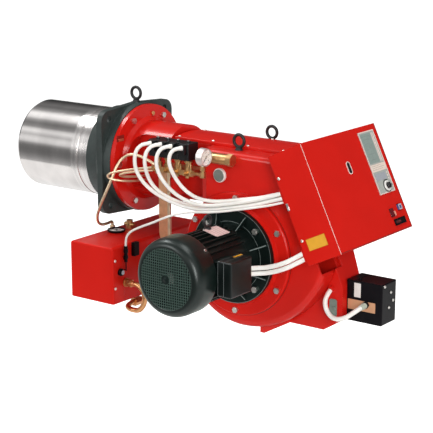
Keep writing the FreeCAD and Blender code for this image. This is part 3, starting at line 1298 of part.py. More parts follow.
def make_heater_sensor():
    """Temperature sensor with its stepped plug on a bracket, and the connector block on the preheater."""
    x = HEATER_X1 + SENSOR_OUT
    profile = [(0, 0), (0, 4.5), (10, 4.5), (10, 6), (18, 6), (18, 4.5), (26, 4.5), (26, 6), (36, 6), (36, 5),
               (44, 5), (44, 0)]
    plug = turned(profile, V(x, SENSOR_Y, SENSOR_TOP - 44), AZ, AX)
    seat = block(HEATER_X1, x, SENSOR_Y - 3, SENSOR_Y + 3, SENSOR_TOP - 38, SENSOR_TOP - 30)
    probe = rod(1.5, V(x, SENSOR_Y, SENSOR_TOP - 68), V(x, SENSOR_Y, SENSOR_TOP - 43))
    foot = rod(1.2, V(HEATER_X1, SENSOR_Y, SENSOR_TOP - 66), V(x, SENSOR_Y, SENSOR_TOP - 66))
    connector = block(HEATER_X1, HEATER_X1 + CONNECTOR_DEPTH, CONNECTOR_Y, CONNECTOR_Y + CONNECTOR_W,
                      HEATER_TOP + 1 - CONNECTOR_H, HEATER_TOP + 1)
    return [fused([plug, seat, probe, foot]), connector]


def make_heater_elbow():
    base = V(HEATER_X1, ELBOW_Y, ELBOW_Z)
    return fused([rod(12.0, base, base + AX * 3), hexagon(11.0, base, AX * ELBOW_LENGTH * 0.45),
                  rod(8.5, base, base + AX * ELBOW_LENGTH * 0.6),
                  hexagon(10.5, base + AX * ELBOW_LENGTH * 0.55, AX * ELBOW_LENGTH * 0.45)])


def knob(base, axis, across, radius, height, shaft_r, shaft_length, ridge):
    """Turning knob with a grip ridge and its shaft."""
    cap = turned([(0, 0), (0, radius), (height * 0.55, radius), (height * 0.7, radius - 1.5),
                  (height * 0.7, 0)], base, axis, across)
    side = axis.cross(across) * ridge
    half = across * (radius - 1.6)
    corners = [base + half + side, base - half + side, base - half - side, base + half - side]
    grip = slab(corners, axis * height)
    return fused([cap, grip, rod(shaft_r, base - axis * shaft_length, base)])


CAB_FOOT_Z = on_face(0, CAB_LENGTH, -CAB_DEPTH).z - 2.0


def intake_wire(inset, y):
    """Outline of the air intake below the neck, with its rear side along the leaning cabinet."""
    low = INTAKE_BOTTOM + inset
    back = INTAKE_X1 - inset
    high = NECK_BOTTOM - inset
    cab = CAB_FOOT_Z - inset
    flush = CAB_STANDOFF - inset
    heel = INTAKE_HEEL_STEP
    lean_z = (REAR_PLANE + flush - back * FACE_OUT.x) / FACE_OUT.z
    corners = [(INTAKE_X0 + INTAKE_NOSE, low), (INTAKE_X1 - INTAKE_HEEL, low), (back - heel, low + heel - 3),
               (back, low + 2 * heel - 3), (back, lean_z), (rear_x(cab, -flush), cab),
               (rear_x(cab, inset), cab), (rear_x(high, inset), high), (INTAKE_X0 + inset, high),
               (INTAKE_X0 + inset, low + INTAKE_NOSE)]
    points = [V(x, y, z) for x, z in corners]
    return Part.makePolygon(points + [points[0]])


def intake_space(inset):
    """Inside or outside form of the intake: full depth behind the scroll, and a forward part beside it."""
    depth = INTAKE_BACK - SCROLL_BACK - 2 * inset
    deep = Part.Face(intake_wire(inset, SCROLL_BACK + inset)).extrude(AY * depth)
    fore = Part.Face(intake_wire(inset, INTAKE_FRONT + inset))
    fore = fore.extrude(AY * (SCROLL_BACK - INTAKE_FRONT + PAST))
    fore = fore.common(block(INTAKE_FORE_X + inset, 2 * FAR, -FAR, FAR, -FAR, 0))
    fore = fore.cut(scroll_solid(-FIT - inset, SCROLL_FRONT - 5, SCROLL_BACK + inset))
    space = deep.fuse(fore)
    slope = (INTAKE_BACK - INTAKE_TAPER_Y) / (INTAKE_X1 - INTAKE_TAPER_X)
    far_y = INTAKE_TAPER_Y - inset - slope * 60
    far_x = INTAKE_X1 + 60
    wedge = slab([V(INTAKE_TAPER_X, INTAKE_BACK - inset, -FAR), V(far_x, far_y, -FAR),
                  V(far_x, INTAKE_BACK + 60, -FAR), V(INTAKE_TAPER_X, INTAKE_BACK + 60, -FAR)], AZ * FAR)
    return space.cut(wedge)


def make_intake():
    box = intake_space(0).cut(intake_space(INTAKE_WALL))
    w = INTAKE_WALL
    throat_top = INTAKE_BOTTOM + THROAT_HEIGHT
    throat = block(THROAT_X0 - w, THROAT_X1 + w, THROAT_Y0 - w, THROAT_Y1 + w, INTAKE_BOTTOM + 1, throat_top)
    opening = block(THROAT_X0, THROAT_X1, THROAT_Y0, THROAT_Y1, INTAKE_BOTTOM - PAST, throat_top + PAST)
    box = box.fuse(throat).cut(opening)
    entry = V(CONDUIT_X, INTAKE_FRONT, CONDUIT_Z)
    box = box.fuse(rod(9.0, entry - AY * 6, entry + AY * 2))
    box = box.cut(rod(EYE_R, fan_point(SCROLL_BACK - PAST), fan_point(SCROLL_BACK + w + PAST)))
    box = box.cut(rod(PUMP_SHAFT_R + RUN, fan_point(INTAKE_BACK - w - PAST), fan_point(INTAKE_BACK + PAST)))
    return box.cut(rod(DAMPER_SHAFT_R + SHAFT_CLEAR, V(THROAT_X0 - 20, DAMPER_Y, DAMPER_Z),
                       V(INTAKE_X1 + PAST, DAMPER_Y, DAMPER_Z)))


def make_damper():
    """Air damper blade on its shaft, which the servomotor turns."""
    half = DAMPER_THICK / 2
    blade = block(THROAT_X0 + RUN, THROAT_X1 - RUN, THROAT_Y0 + RUN, THROAT_Y1 - RUN, DAMPER_Z - half,
                  DAMPER_Z + half)
    shaft = rod(DAMPER_SHAFT_R, V(THROAT_X0 - INTAKE_WALL, DAMPER_Y, DAMPER_Z),
                V(INTAKE_X1 + DAMPER_OUT, DAMPER_Y, DAMPER_Z))
    return fused([blade, shaft])


def make_servomotor():
    """Servomotor with the parting groove of its case, its indicator stud and its cable gland."""
    x0 = INTAKE_X1
    x1 = x0 + SERVO_X
    case = block(x0, x1, SERVO_Y0, SERVO_Y1, SERVO_BOTTOM, SERVO_TOP)
    case = case.makeFillet(3.0, [e for e in case.Edges if e.BoundBox.XMin > x0 + 0.1])
    groove = x0 + SERVO_GROOVE_X
    case = case.cut(block(groove, groove + SERVO_GROOVE, SERVO_Y0 - PAST, SERVO_Y1 + PAST,
                          SERVO_TOP - SERVO_GROOVE * 0.6, SERVO_TOP + PAST))
    case = case.cut(rod(DAMPER_SHAFT_R + SHAFT_CLEAR, V(x0 - PAST, DAMPER_Y, DAMPER_Z),
                        V(x0 + DAMPER_OUT + RUN, DAMPER_Y, DAMPER_Z)))
    gland = hexagon(SERVO_GLAND_R, V(SERVO_GLAND_X, SERVO_Y0, SERVO_GLAND_Z), AY * -GLAND_LENGTH)
    stud = V(x0 + SERVO_STUD_X, SERVO_Y0 + 14, SERVO_TOP)
    return fused([case, gland, rod(4.0, stud - AZ, stud + AZ * 4)])


def make_cabinet_cover():
    """Folded sheet cover of the control cabinet, open at its back, with its pushbutton openings."""
    s = CAB_SHEET
    inside = face_block(s, s, CAB_WIDTH - 2 * s, CAB_LENGTH - 2 * s, -CAB_DEPTH - PAST, -s)
    cover = face_block(0, 0, CAB_WIDTH, CAB_LENGTH, -CAB_DEPTH, 0).cut(inside)
    buttons = (RESET_AREA, SWITCH_AREA)
    for across, down, width, height in buttons:
        w = HOUSING_WALL
        housing = face_block(across - w, down - w, width + 2 * w, height + 2 * w, -HOUSING_DEPTH, -s / 2)
        cover = cover.fuse(housing)
    for across, down, width, height in buttons:
        c = PUSH_CLEAR
        hole = face_block(across - c, down - c, width + 2 * c, height + 2 * c, w - HOUSING_DEPTH, PAST)
        cover = cover.cut(hole)
    return cover.cut(rod(DIAL_SHAFT_R + FIT, on_face(DIAL_ACROSS, DIAL_DOWN, -HOUSING_DEPTH),
                         on_face(DIAL_ACROSS, DIAL_DOWN, PAST)))


def make_cabinet_base():
    """Back tray of the cabinet with its standoffs to the burner's rear wall and the cable grommets."""
    s = CAB_SHEET
    g = CAB_SHEET + FIT
    back = -CAB_DEPTH
    room = g + s
    tray = face_block(g, g, CAB_WIDTH - 2 * g, CAB_LENGTH - 2 * g, back, back + CAB_LIP)
    inside = face_block(room, room, CAB_WIDTH - 2 * room, CAB_LENGTH - 2 * room, back + s,
                        back + CAB_LIP + PAST)
    parts = [tray.cut(inside)]
    for y in (-STANDOFF_Y, STANDOFF_Y):
        for down in STANDOFF_DOWN:
            foot = on_face(y - CAB_SIDE_Y, down, back - CAB_STANDOFF)
            parts.append(rod(STANDOFF_R, foot, foot + FACE_OUT * (CAB_STANDOFF + s / 2)))
    for across, down, width, length in GROMMETS:
        parts.append(face_block(across, down, width, length, back - GROMMET_STAND, back + s / 2))
    return fused(parts)


def make_rocker():
    """Rocker of the mains switch, in its opening in the cover, pressed in at its upper end."""
    across, down, width, height = SWITCH_AREA
    half = height / 2
    lean = math.radians(ROCKER_THROW / 2)

    def at(along, out):
        rise = out - ROCKER_PIVOT
        place = down + half + along * math.cos(lean) - rise * math.sin(lean)
        return on_face(across, place, ROCKER_PIVOT + rise * math.cos(lean) + along * math.sin(lean))

    waist = half - 0.6
    foot = half - 3.5
    profile = [at(-half, ROCKER_RISE), at(0, ROCKER_RISE / 2), at(half, ROCKER_RISE), at(waist, -2.0),
               at(foot, -ROCKER_DEPTH), at(-foot, -ROCKER_DEPTH), at(-waist, -2.0)]
    return slab(profile, AY * width)


def make_oil_pump():
    """Gear pump behind the intake, coupled to the fan shaft's axis."""
    y = INTAKE_BACK
    end = y + PUMP_LENGTH
    body = rod(PUMP_R, fan_point(y), fan_point(end))
    flange = rod(PUMP_R + 8, fan_point(y), fan_point(y + PUMP_FLANGE))
    cap = rod(PUMP_R - 8, fan_point(end - 4), fan_point(end + 10))
    port_top = FAN_Z - PUMP_R + 8
    port = hexagon(PUMP_PORT_R, V(FAN_X, PIPE_END_Y, port_top), AZ * (PUMP_INLET_Z - port_top))
    screw_cap = hexagon(11.0, V(FAN_X + PUMP_R - 4, y + PUMP_LENGTH / 2, FAN_Z), AX * 18)
    pump = fused([body, flange, cap, port, screw_cap])
    return pump.cut(rod(PUMP_SHAFT_R + RUN / 2, fan_point(y - PAST), fan_point(y + PUMP_LENGTH / 2 + RUN)))


def make_index_plate():
    """Damper scale on the intake's side, with its clamping screw."""
    y = INTAKE_FRONT
    front = y - INDEX_THICK
    plate = block(INDEX_X - INDEX_W / 2, INDEX_X + INDEX_W / 2, front, y, INDEX_Z - INDEX_H / 2,
                  INDEX_Z + INDEX_H / 2)
    corners = [e for e in plate.Edges if abs(e.BoundBox.YLength - INDEX_THICK) < 0.01]
    stud = V(INDEX_X + INDEX_W / 4, front, INDEX_Z)
    return fused([plate.makeFillet(INDEX_W / 4, corners), rod(INDEX_STUD_R, stud, stud - AY * INDEX_STUD_R)])


def make_instrument_plate():
    plate = face_block(PANEL_ACROSS, PANEL_DOWN, PANEL_W, PANEL_L, 0, PANEL_THICK)
    return plate.cut(rod(DIAL_SHAFT_R + FIT, on_face(DIAL_ACROSS, DIAL_DOWN, -PAST),
                         on_face(DIAL_ACROSS, DIAL_DOWN, PANEL_THICK + PAST)))


def make_selector():
    base = on_face(DIAL_ACROSS, DIAL_DOWN, PANEL_THICK + FIT)
    return knob(base, FACE_OUT, FACE_DOWN * -1, DIAL_R, DIAL_HEIGHT, DIAL_SHAFT_R, DIAL_SHAFT, 2.5)


def make_thermostat_knob():
    base = V(HEATER_X1 + FIT, KNOB_Y, KNOB_Z)
    return knob(base, AX, AZ, KNOB_R, KNOB_HEIGHT, THERMOSTAT_SHAFT_R, THERMOSTAT_SHAFT, 1.8)


def make_reset():
    across, down, width, height = RESET_AREA
    cap = face_block(across, down, width, height, -RESET_SINK, RESET_RISE)
    return cap.makeFillet(1.5, [e for e in cap.Faces[-1].Edges])


def make_counter():
    across, down, width, height = COUNTER
    f = COUNTER_FRAME
    frame = face_block(across, down, width, height, 0, COUNTER_THICK)
    window = face_block(across + f, down + f, width - 2 * f, height - 2 * f, COUNTER_SINK,
                        COUNTER_THICK + PAST)
    return frame.cut(window)


def make_needles():
    """Needles of the two dials."""
    low = V(0, -1, -1).normalize()
    bore = PIN_R + NEEDLE_RISE / 4
    gauge_centre = V(GAUGE_X + NEEDLE_RISE, GAUGE_Y, GAUGE_Z)
    gauge = pointer(gauge_centre, AX, low, GAUGE_R * 0.72, GAUGE_R / 4, NEEDLE_THICK, bore)
    centre = V(THERMO_X, THERMO_Y, HEATER_TOP + THERMO_H - THERMO_SINK + NEEDLE_GAP)
    return gauge, pointer(centre, AZ, V(-1, 0, 0), THERMO_R * 0.68, THERMO_R / 4, NEEDLE_THICK, bore)


def make_gauge_lens():
    front = V(GAUGE_X + GAUGE_RIM_RISE, GAUGE_Y, GAUGE_Z)
    return rod(GAUGE_R - GAUGE_RIM - FIT / 3, front - AX, front)


def make_cables():
    """The cables in order: the four of the oil valves, the sensor's, the motor's two and the servomotor's."""
    routes = {}
    routes["coil_cable_1"] = [
        (195, -160, 80), (182.6, -172.6, 80), (171.9, -183.4, 71), (165.7, -189.7, 56), (164, -191, 36),
        (165.5, -189.5, 15), (173, -186, -5), (189, -182, -25), (213, -178, -43), (245, -174, -57),
        (283, -171, -68), (324, -168, -74), (366, -166, -74.5), (410, -166, -67), (455, -166, -56.5),
        (500, -165, -46), (541, -162, -34.5), (577, -159, -22), (611.6, -157, -11)]
    routes["coil_cable_2"] = [
        (229, -160, 81), (217.3, -173.3, 81), (207.2, -184.8, 72), (201.4, -191.4, 57), (199, -192.5, 37),
        (198.5, -188, 16), (200.5, -181, -5), (208, -174, -25), (223, -167, -43), (248, -162, -56),
        (282, -158, -66), (322, -156, -70.5), (365, -155, -69), (408, -155, -61.5), (451, -155, -52),
        (494, -155, -43), (535, -152, -34), (573, -148, -22), (611.6, -146.3, -11)]
    routes["coil_cable_3"] = [
        (263, -160, 80), (252.4, -174.2, 80), (243.6, -186, 71), (239.2, -192, 56), (238.5, -193, 36),
        (241.5, -190, 16), (250, -185, -4), (265, -180, -23), (285, -175, -40), (312, -171, -53),
        (346, -168, -61), (388, -166, -60), (430, -166, -51.5), (472, -166, -41), (511, -164, -31),
        (546, -161, -21), (577, -158, -10.5), (606.3, -157, 0)]
    routes["coil_cable_4"] = [
        (297, -160, 79), (288, -175, 79), (281.5, -186.5, 70), (279, -191.5, 54), (281, -190, 34),
        (286, -184, 15), (294, -177, -4), (306, -170, -22), (324, -164, -37), (350, -159, -48),
        (386, -156, -50.5), (427, -155, -45), (468, -155, -36), (508, -154, -27.5), (543, -151, -20),
        (573, -148, -10.5), (606.3, -146.3, 0)]
    routes["sensor_cable"] = [
        (149, -214, -194), (149, -214, -178), (155, -214, -163), (169, -214, -150), (196, -213, -136),
        (236, -211, -119), (276, -208, -99.5), (315, -203, -84), (354, -195, -75.5), (396, -186, -72.5),
        (440, -181, -65), (486, -179, -54), (530, -176, -43.5), (566, -168, -35), (594, -158, -27.5),
        (615.9, -151, -20)]
    routes["motor_cable_1"] = [
        (553, -242, -185), (553.5, -221, -186.5), (563, -201, -188), (579, -189, -187.5), (604, -179.5, -181),
        (630, -170.5, -170), (653, -162, -155.5), (674.2, -157, -141.6)]
    routes["motor_cable_2"] = [
        (553, -242, -199), (553.5, -221, -200.5), (563, -201, -202), (579, -189, -201.5), (605, -179.5, -195),
        (632, -170.5, -184), (657, -162, -169), (680.3, -157, -154.3)]
    routes["servo_conduit"] = [
        (787, -47, -283), (785, -65, -286), (776, -81, -295), (759, -89, -309), (738, -92, -318),
        (717, -91, -316), (702, -89, -303), (695, -88, -285), (694, -81, -267), (697, -66, -254)]
    return routes


CABLE_SIZES = {"coil": COIL_CABLE_D, "sensor": SENSOR_CABLE_D, "motor": MOTOR_CABLE_D, "servo": SERVO_CABLE_D}


def make_small_screws():
    """Screws of the top cover, the preheater's end cover, the cabinet and the servomotor."""
    places = [(place, AZ) for place in lid_screw_places()]
    places += [(V(HEATER_X1, HEATER_SCREW_Y, z), AX) for z in HEATER_SCREW_Z]
    for back, down in CAB_SCREWS:
        places.append((on_face(0, down, -back), AY * -1))
    for y, z in SERVO_SCREWS:
        places.append((V(INTAKE_X1 + SERVO_X, y, z), AX))
    return [screw(place, axis) for place, axis in places], places


def bored(shape, places, radius, depth):
    """The shape with a hole under each fastener."""
    for place, axis in places:
        shape = shape.cut(rod(radius, place - axis * depth, place + axis))
    return shape


def save_head():
    """Everything in front of the body, and what sits inside the tube."""
    x = DIFFUSER_SETBACK - TUBE_LENGTH
    save("blast_tube", make_blast_tube())
    save("tube_collar", make_collar())
    save("mounting_plate", make_mounting_plate())
    save("diffuser_disc", make_diffuser(x))
    save("nozzle_lance", make_lance(x), make_electrode_holder(x))
    save("ignition_electrodes", *make_electrodes(x))


def save_body():
    save("burner_body", make_burner_body())
    save("top_cover", make_top_cover())
    save("sight_glass_rim", make_sight_rim())
    save("sight_glass", make_sight_glass())
    bolts = [bolt(place, AX) for place in around(FLANGE_BOLTS, FLANGE_BOLT_R, BODY_FACE, 0.0)]
    bolts += [bolt(place, AY * -1) for place in
              fan_ring(PLATE_BOLTS, PLATE_BOLT_R, SCROLL_FRONT - MPLATE_THICK, 30.0)]
    bolts += [bolt(place, AY * -1) for place in
              fan_ring(MFLANGE_BOLTS, MFLANGE_PCD_R, MFLANGE_Y - MFLANGE_THICK, 45.0)]
    save("hex_bolts", *bolts)
    bases = [FLANGE_EYE, V(BODY_EYE_X, -BODY_EYE_Y, NECK_TOP), V(BODY_EYE_X, BODY_EYE_Y, NECK_TOP)]
    eyes = [lifting_eye(base, EYE_RING_R, EYE_WIRE_R, AY) for base in bases]
    eyes.append(lifting_eye(MOTOR_EYE, MOTOR_EYE_RING_R, MOTOR_EYE_WIRE_R, AX))
    save("lifting_eyes", *eyes)


def save_motor():
    save("motor_plate", make_motor_plate())
    save("motor_flange", make_motor_flange())
    save("motor_frame", make_motor_frame())
    save("fan_cowl", make_cowl())
    save("motor_shaft", make_shaft())
    save("fan_impeller", make_impeller())
    save("cooling_fan", make_cooler())
    save("terminal_box", make_terminal_box())
    save("terminal_lid", make_terminal_lid())


def save_oil_side(screw_places):
    gauge_needle, thermo_needle = make_needles()
    save("valve_manifold", make_manifold())
    save("solenoid_coils", *[make_coil(index) for index in range(COILS)])
    save("pressure_gauge", make_gauge_case())
    save("gauge_pointer", gauge_needle)
    save("gauge_lens", make_gauge_lens())
    save("oil_cylinder", make_oil_cylinder())
    save("nozzle_pipes", *make_pipes())
    save("preheater_pipe", make_preheater_pipe())
    save("copper_pipe", make_copper_pipe())
    save("return_pipe", make_return_pipe())
    save("support_strap", make_strap())
    save("preheater_tank", bored(make_tank(), screw_places, SCREW_R, SCREW_GRIP))
    save("preheater_cover", bored(make_heater_cover(), screw_places, SCREW_R, SCREW_GRIP))
    save("thermometer", make_thermometer())
    save("thermometer_pointer", thermo_needle)
    save("relief_valve", make_relief_valve(), make_heater_elbow())
    save("heater_sensor", *make_heater_sensor())
    save("thermostat_knob", make_thermostat_knob())
    save("oil_pump", make_oil_pump())


def save_air_side(screw_places):
    save("intake_box", make_intake())
    save("air_damper", make_damper())
    save("index_plate", make_index_plate())
    save("servomotor", bored(make_servomotor(), screw_places, SCREW_R, SCREW_GRIP))


def save_cabinet(screw_places):
    save("cabinet_cover", bored(make_cabinet_cover(), screw_places, SCREW_R, SCREW_GRIP))
    save("cabinet_base", bored(make_cabinet_base(), screw_places, SCREW_R, SCREW_GRIP))
    save("instrument_plate", make_instrument_plate())
    save("selector_knob", make_selector())
    save("reset_button", make_reset())
    save("power_switch", make_rocker())
    save("hour_counter", make_counter())


if __name__ == "__main__":
    os.makedirs("parts", exist_ok=True)
    screws, places = make_small_screws()
    save("small_screws", *screws)
    save_head()
    save_body()
    save_motor()
    save_oil_side(places)
    save_air_side(places)
    save_cabinet(places)
    for name, places in make_cables().items():
        size = CABLE_SIZES[name.split("_")[0]]
        save(name, tube(name, places, size))
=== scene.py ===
import math

import bmesh
import bpy
import numpy as np
from bpy.props import FloatProperty, FloatVectorProperty, PointerProperty
from mathutils import Matrix, Vector


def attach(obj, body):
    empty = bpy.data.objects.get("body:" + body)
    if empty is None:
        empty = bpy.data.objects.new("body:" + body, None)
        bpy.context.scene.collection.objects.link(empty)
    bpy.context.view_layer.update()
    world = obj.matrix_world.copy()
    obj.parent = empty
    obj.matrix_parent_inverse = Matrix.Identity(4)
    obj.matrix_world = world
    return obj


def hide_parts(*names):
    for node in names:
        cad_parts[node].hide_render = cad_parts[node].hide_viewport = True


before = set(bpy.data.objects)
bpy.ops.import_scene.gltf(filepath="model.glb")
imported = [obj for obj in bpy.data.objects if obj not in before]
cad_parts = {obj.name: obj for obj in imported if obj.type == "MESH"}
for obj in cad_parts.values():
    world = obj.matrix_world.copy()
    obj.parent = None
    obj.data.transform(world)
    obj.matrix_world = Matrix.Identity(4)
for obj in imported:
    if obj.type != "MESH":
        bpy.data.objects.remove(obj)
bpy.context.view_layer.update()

bl_info = {
    "name": "Heavy oil burner dressing",
    "version": (1, 0, 0),
    "blender": (4, 5, 0),
    "location": "3D View > Sidebar > Burner",
    "description": "Finishes, cables, dials and plates of a flange-mounted heavy oil burner",
    "category": "Object",
}

# Places and sizes of pieces are in millimetres in the burner's frame, and MM turns them to Blender's metres.
MM = 1000
AXIS_X, AXIS_Y, AXIS_Z = np.eye(3)

# The cabinet's wide face: its lean, the ways out of it and up it, and its upper corner on the motor side.
FACE_LEAN = math.radians(25.6)
FACE_OUT = np.array([math.cos(FACE_LEAN), 0.0, math.sin(FACE_LEAN)])
FACE_UP = np.array([-math.sin(FACE_LEAN), 0.0, math.cos(FACE_LEAN)])
FACE_CORNER = np.array([665.1, -165.0, 135.1])

# A point of the motor's axis, its fan cowl's radius, mouth and end, and the radius of the guard in that end.
FAN_CENTRE = np.array([445.7, 0.0, -188.0])
COWL_RADIUS = 100.0
COWL_MOUTH = -343.0
COWL_END = -421.0
GUARD_RADIUS = 78.0


def to_linear(code):
    """Linear RGB of an sRGB hex colour."""
    srgb = np.array([int(code[k:k + 2], 16) / 255 for k in (1, 3, 5)])
    return tuple(np.where(srgb <= 0.04045, srgb / 12.92, ((srgb + 0.055) / 1.055) ** 2.4))


# Sizes and colours.

def colour(name, code, description):
    return FloatVectorProperty(name=name, description=description, subtype="COLOR", size=3, min=0, max=1,
                               default=to_linear(code))


def size(name, metres, description):
    return FloatProperty(name=name, description=description, default=metres, min=0.0001, unit="LENGTH",
                         precision=4)


class BurnerColours(bpy.types.PropertyGroup):
    """Colours of the burner's finishes."""
    enamel: colour("Red enamel", "#CB1B12", "Gloss enamel on castings and sheets")
    iron_paint: colour("Plate enamel", "#2C3533", "Satin enamel on the boiler plate and collar")
    motor_paint: colour("Motor enamel", "#0D1413", "Gloss green-black enamel of the electric motor")
    steel: colour("Turned steel", "#DEDAD8", "Turned blast tube")
    zinc: colour("Bright zinc", "#B9B8B3", "Plated screws and shafts")
    brass: colour("Brass", "#CDA573", "Machined brass of the valve group")
    copper: colour("Copper", "#DBA26F", "Drawn copper pipes")
    pipe: colour("Pipe", "#E6CFAE", "Brass-coloured thin oil pipes")
    strap: colour("Passivated strip", "#E6B087", "Yellow-passivated support strap")
    coil: colour("Coil moulding", "#141517", "Thermoset round the solenoid coils")
    sheath: colour("Cable sheath", "#F1EEE8", "White cable sheath")
    panel: colour("Instrument plate", "#A9ADA6", "Grey of the instrument plate")
    label: colour("Yellow label", "#E0A32C", "Bare label on the cabinet's side")


class BurnerSizes(bpy.types.PropertyGroup):
    """Sizes of what is added to the burner's solids."""
    coil_cable: size("Coil cable", 0.010, "Outer diameter of the cables of the solenoid coils")
    sensor_cable: size("Sensor cable", 0.006, "Outer diameter of the preheater sensor's cable")
    motor_cable: size("Motor cable", 0.012, "Outer diameter of the motor's cables")
    conduit: size("Conduit", 0.012, "Outer diameter of the servomotor's conduit")
    gauge: size("Gauge dial", 0.0207, "Radius of the pressure gauge's dial")
    thermometer: size("Thermometer dial", 0.0223, "Radius of the thermometer's dial")
    label_thick: size("Label thickness", 0.0006, "Thickness of the label on the cabinet's side")


# Surfaces. A form is an array of points in millimetres and an array of quads.

def grid_faces(rows, columns, round_rows=False):
    """Quads between neighbouring grid points; the columns close on themselves, and the rows where asked."""
    row, column = np.meshgrid(np.arange(rows - (not round_rows)), np.arange(columns), indexing="ij")
    row, column = row.ravel(), column.ravel()
    after, beside = (row + 1) % rows, (column + 1) % columns
    return np.stack([row * columns + column, row * columns + beside, after * columns + beside,
                     after * columns + column], -1)


def turned(profile, foot, axis, steps=48):
    """Turned form: foot + axis*h + r*(cos t*u + sin t*v) for profile points (h, r). Six steps make a bar."""
    profile = np.asarray(profile, float)
    first = np.cross(axis, AXIS_Z if abs(axis[2]) < 0.7 else AXIS_X)
    first /= np.linalg.norm(first)
    angle = np.arange(steps) * 2 * np.pi / steps
    around = np.cos(angle)[:, None] * first + np.sin(angle)[:, None] * np.cross(axis, first)
    points = np.asarray(foot, float) + profile[:, None, :1] * axis + profile[:, None, 1:] * around[None]
    return points, grid_faces(len(profile), steps)


def rounded_outline(width, height, radius, steps=8):
    """Points (x, y) of a rectangle with round corners, centred on zero: each corner a quarter circle."""
    angle = np.linspace(0, np.pi / 2, steps)
    corner = np.stack([np.cos(angle), np.sin(angle)], -1) * radius
    half = np.array([width / 2 - radius, height / 2 - radius])
    turns = [np.array([[math.cos(q), -math.sin(q)], [math.sin(q), math.cos(q)]])
             for q in np.arange(4) * np.pi / 2]
    signs = np.array([[1, 1], [-1, 1], [-1, -1], [1, -1]])
    return np.concatenate([corner @ turn.T + half * sign for turn, sign in zip(turns, signs)])


def stacked(rings, levels, middle, right, up, round_rows=False):
    """Form from outlines (x, y), each at its level: middle + x*right + y*up + level*out."""
    points = (np.asarray(middle, float) + rings[..., :1] * right + rings[..., 1:] * up
              + np.asarray(levels)[:, None, None] * np.cross(right, up))
    return points, grid_faces(len(rings), rings.shape[1], round_rows)


def plate(width, height, radius, thick, middle, right, up, edge=0.15):
    """Flat plate: its outline at the foot and, a small edge smaller, at the top, closed at both centres."""
    outline = rounded_outline(width, height, radius)
    top = outline * (1 - edge * thick / np.abs(outline).max())
    return stacked(np.stack([outline * 0, outline, outline, top, outline * 0]),
                   [0, 0, thick * (1 - edge), thick, thick], middle, right, up)


def frame_ring(width, height, radius, wall, thick, middle, right, up):
    """Raised rim: an outline and a smaller copy of it, each at the foot and at the top, closed on itself."""
    outer = rounded_outline(width, height, radius)
    inner = rounded_outline(width - 2 * wall, height - 2 * wall, max(radius - wall, 0.05))
    return stacked(np.stack([outer, outer, inner, inner]), [0, thick, thick, 0], middle, right, up, True)


def bar(start, end, width, thick, out):
    """Straight flat bar from one point to another, lying on a surface with that way out."""
    start, end = np.asarray(start, float), np.asarray(end, float)
    length = np.linalg.norm(end - start)
    along = (end - start) / length
    return plate(length, width, width * 0.2, thick, (start + end) / 2, along, np.cross(out, along))


def copied_faces(faces, copies, corners):
    """The same quads for each of several copies of a form with that many corners."""
    shift = np.arange(copies)[:, None, None] * corners
    return (faces[None] + shift).reshape(-1, 4)


def repeated(form, places):
    """The same form at each of several places, as one form."""
    points, places = form[0].reshape(-1, 3), np.asarray(places, float)
    return (points[None] + places[:, None]).reshape(-1, 3), copied_faces(form[1], len(places), len(points))


def joined(forms):
    """Several forms as one."""
    clouds = [points.reshape(-1, 3) for points, _ in forms]
    shifts = np.cumsum([0] + [len(cloud) for cloud in clouds[:-1]])
    faces = [quads + shift for (_, quads), shift in zip(forms, shifts)]
    return np.concatenate(clouds), np.concatenate(faces)


def marks(middle, right, up, degrees, inner, outer, width, thick):
    """Radial marks of a dial: each a thin box from the inner to the outer radius at its angle from right."""
    angle = np.radians(np.asarray(degrees, float))[:, None, None]
    along = np.cos(angle) * right + np.sin(angle) * up
    beside = np.cos(angle) * up - np.sin(angle) * right
    radius = np.array([inner, outer, outer, inner] * 2)[None, :, None]
    side = np.array([-1, -1, 1, 1] * 2)[None, :, None] * width / 2
    level = np.array([0] * 4 + [1] * 4)[None, :, None] * thick
    points = np.asarray(middle, float) + along * radius + beside * side + np.cross(right, up) * level
    box = np.array([[3, 2, 1, 0], [4, 5, 6, 7], [0, 1, 5, 4], [1, 2, 6, 5], [2, 3, 7, 6], [3, 0, 4, 7]])
    return points.reshape(-1, 3), copied_faces(box, len(degrees), 8)


def bar_grid(middle, radius, pitch, width, thick, dome, stations=25):
    """Woven-looking guard: bars at every pitch in both directions, cut to a circle and laid over a dome."""
    count = int((radius - width) / pitch)
    offset = np.arange(-count, count + 1) * pitch
    along = np.linspace(-1, 1, stations)[None, :] * np.sqrt(radius ** 2 - offset ** 2)[:, None]
    last = stations * 4 - 1
    ends = np.array([[0, 1, 2, 3], [last, last - 1, last - 2, last - 3]])
    faces = copied_faces(np.concatenate([grid_faces(stations, 4), ends]), len(offset), stations * 4)
    forms = []
    for turn in (0, 1):
        deep = np.array([0, 0, 1, 1]) * thick + turn * thick * 0.3
        side = offset[:, None, None] + np.array([-1, 1, 1, -1]) * width / 2
        run = np.broadcast_to(along[:, :, None], (*along.shape, 4))
        side = np.broadcast_to(side, run.shape)
        x, z = (run, side) if turn else (side, run)
        points = np.asarray(middle, float) + np.stack([x, dome(np.hypot(run, side)) + deep, z], -1)
        forms.append((points.reshape(-1, 3), faces))
    return joined(forms)


# Pieces.

# Points closer than the first of these are merged, and edges shorter than the second are removed, in metres.
MERGE_WITHIN = 0.000004
SHORTEST_EDGE = 0.000001

# A figure's type size, as a multiple of its height.
TYPE_SCALE = 1.4


def put(name, data, finish, body="burner", replaces=None):
    """A mesh or curve as a piece that rides a body, and stands in for a solid where one is named."""
    data.materials.append(FINISHES[finish])
    piece = bpy.data.objects.new(name, data)
    bpy.context.scene.collection.objects.link(piece)
    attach(piece, body)
    if replaces:
        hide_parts(replaces)
    return piece


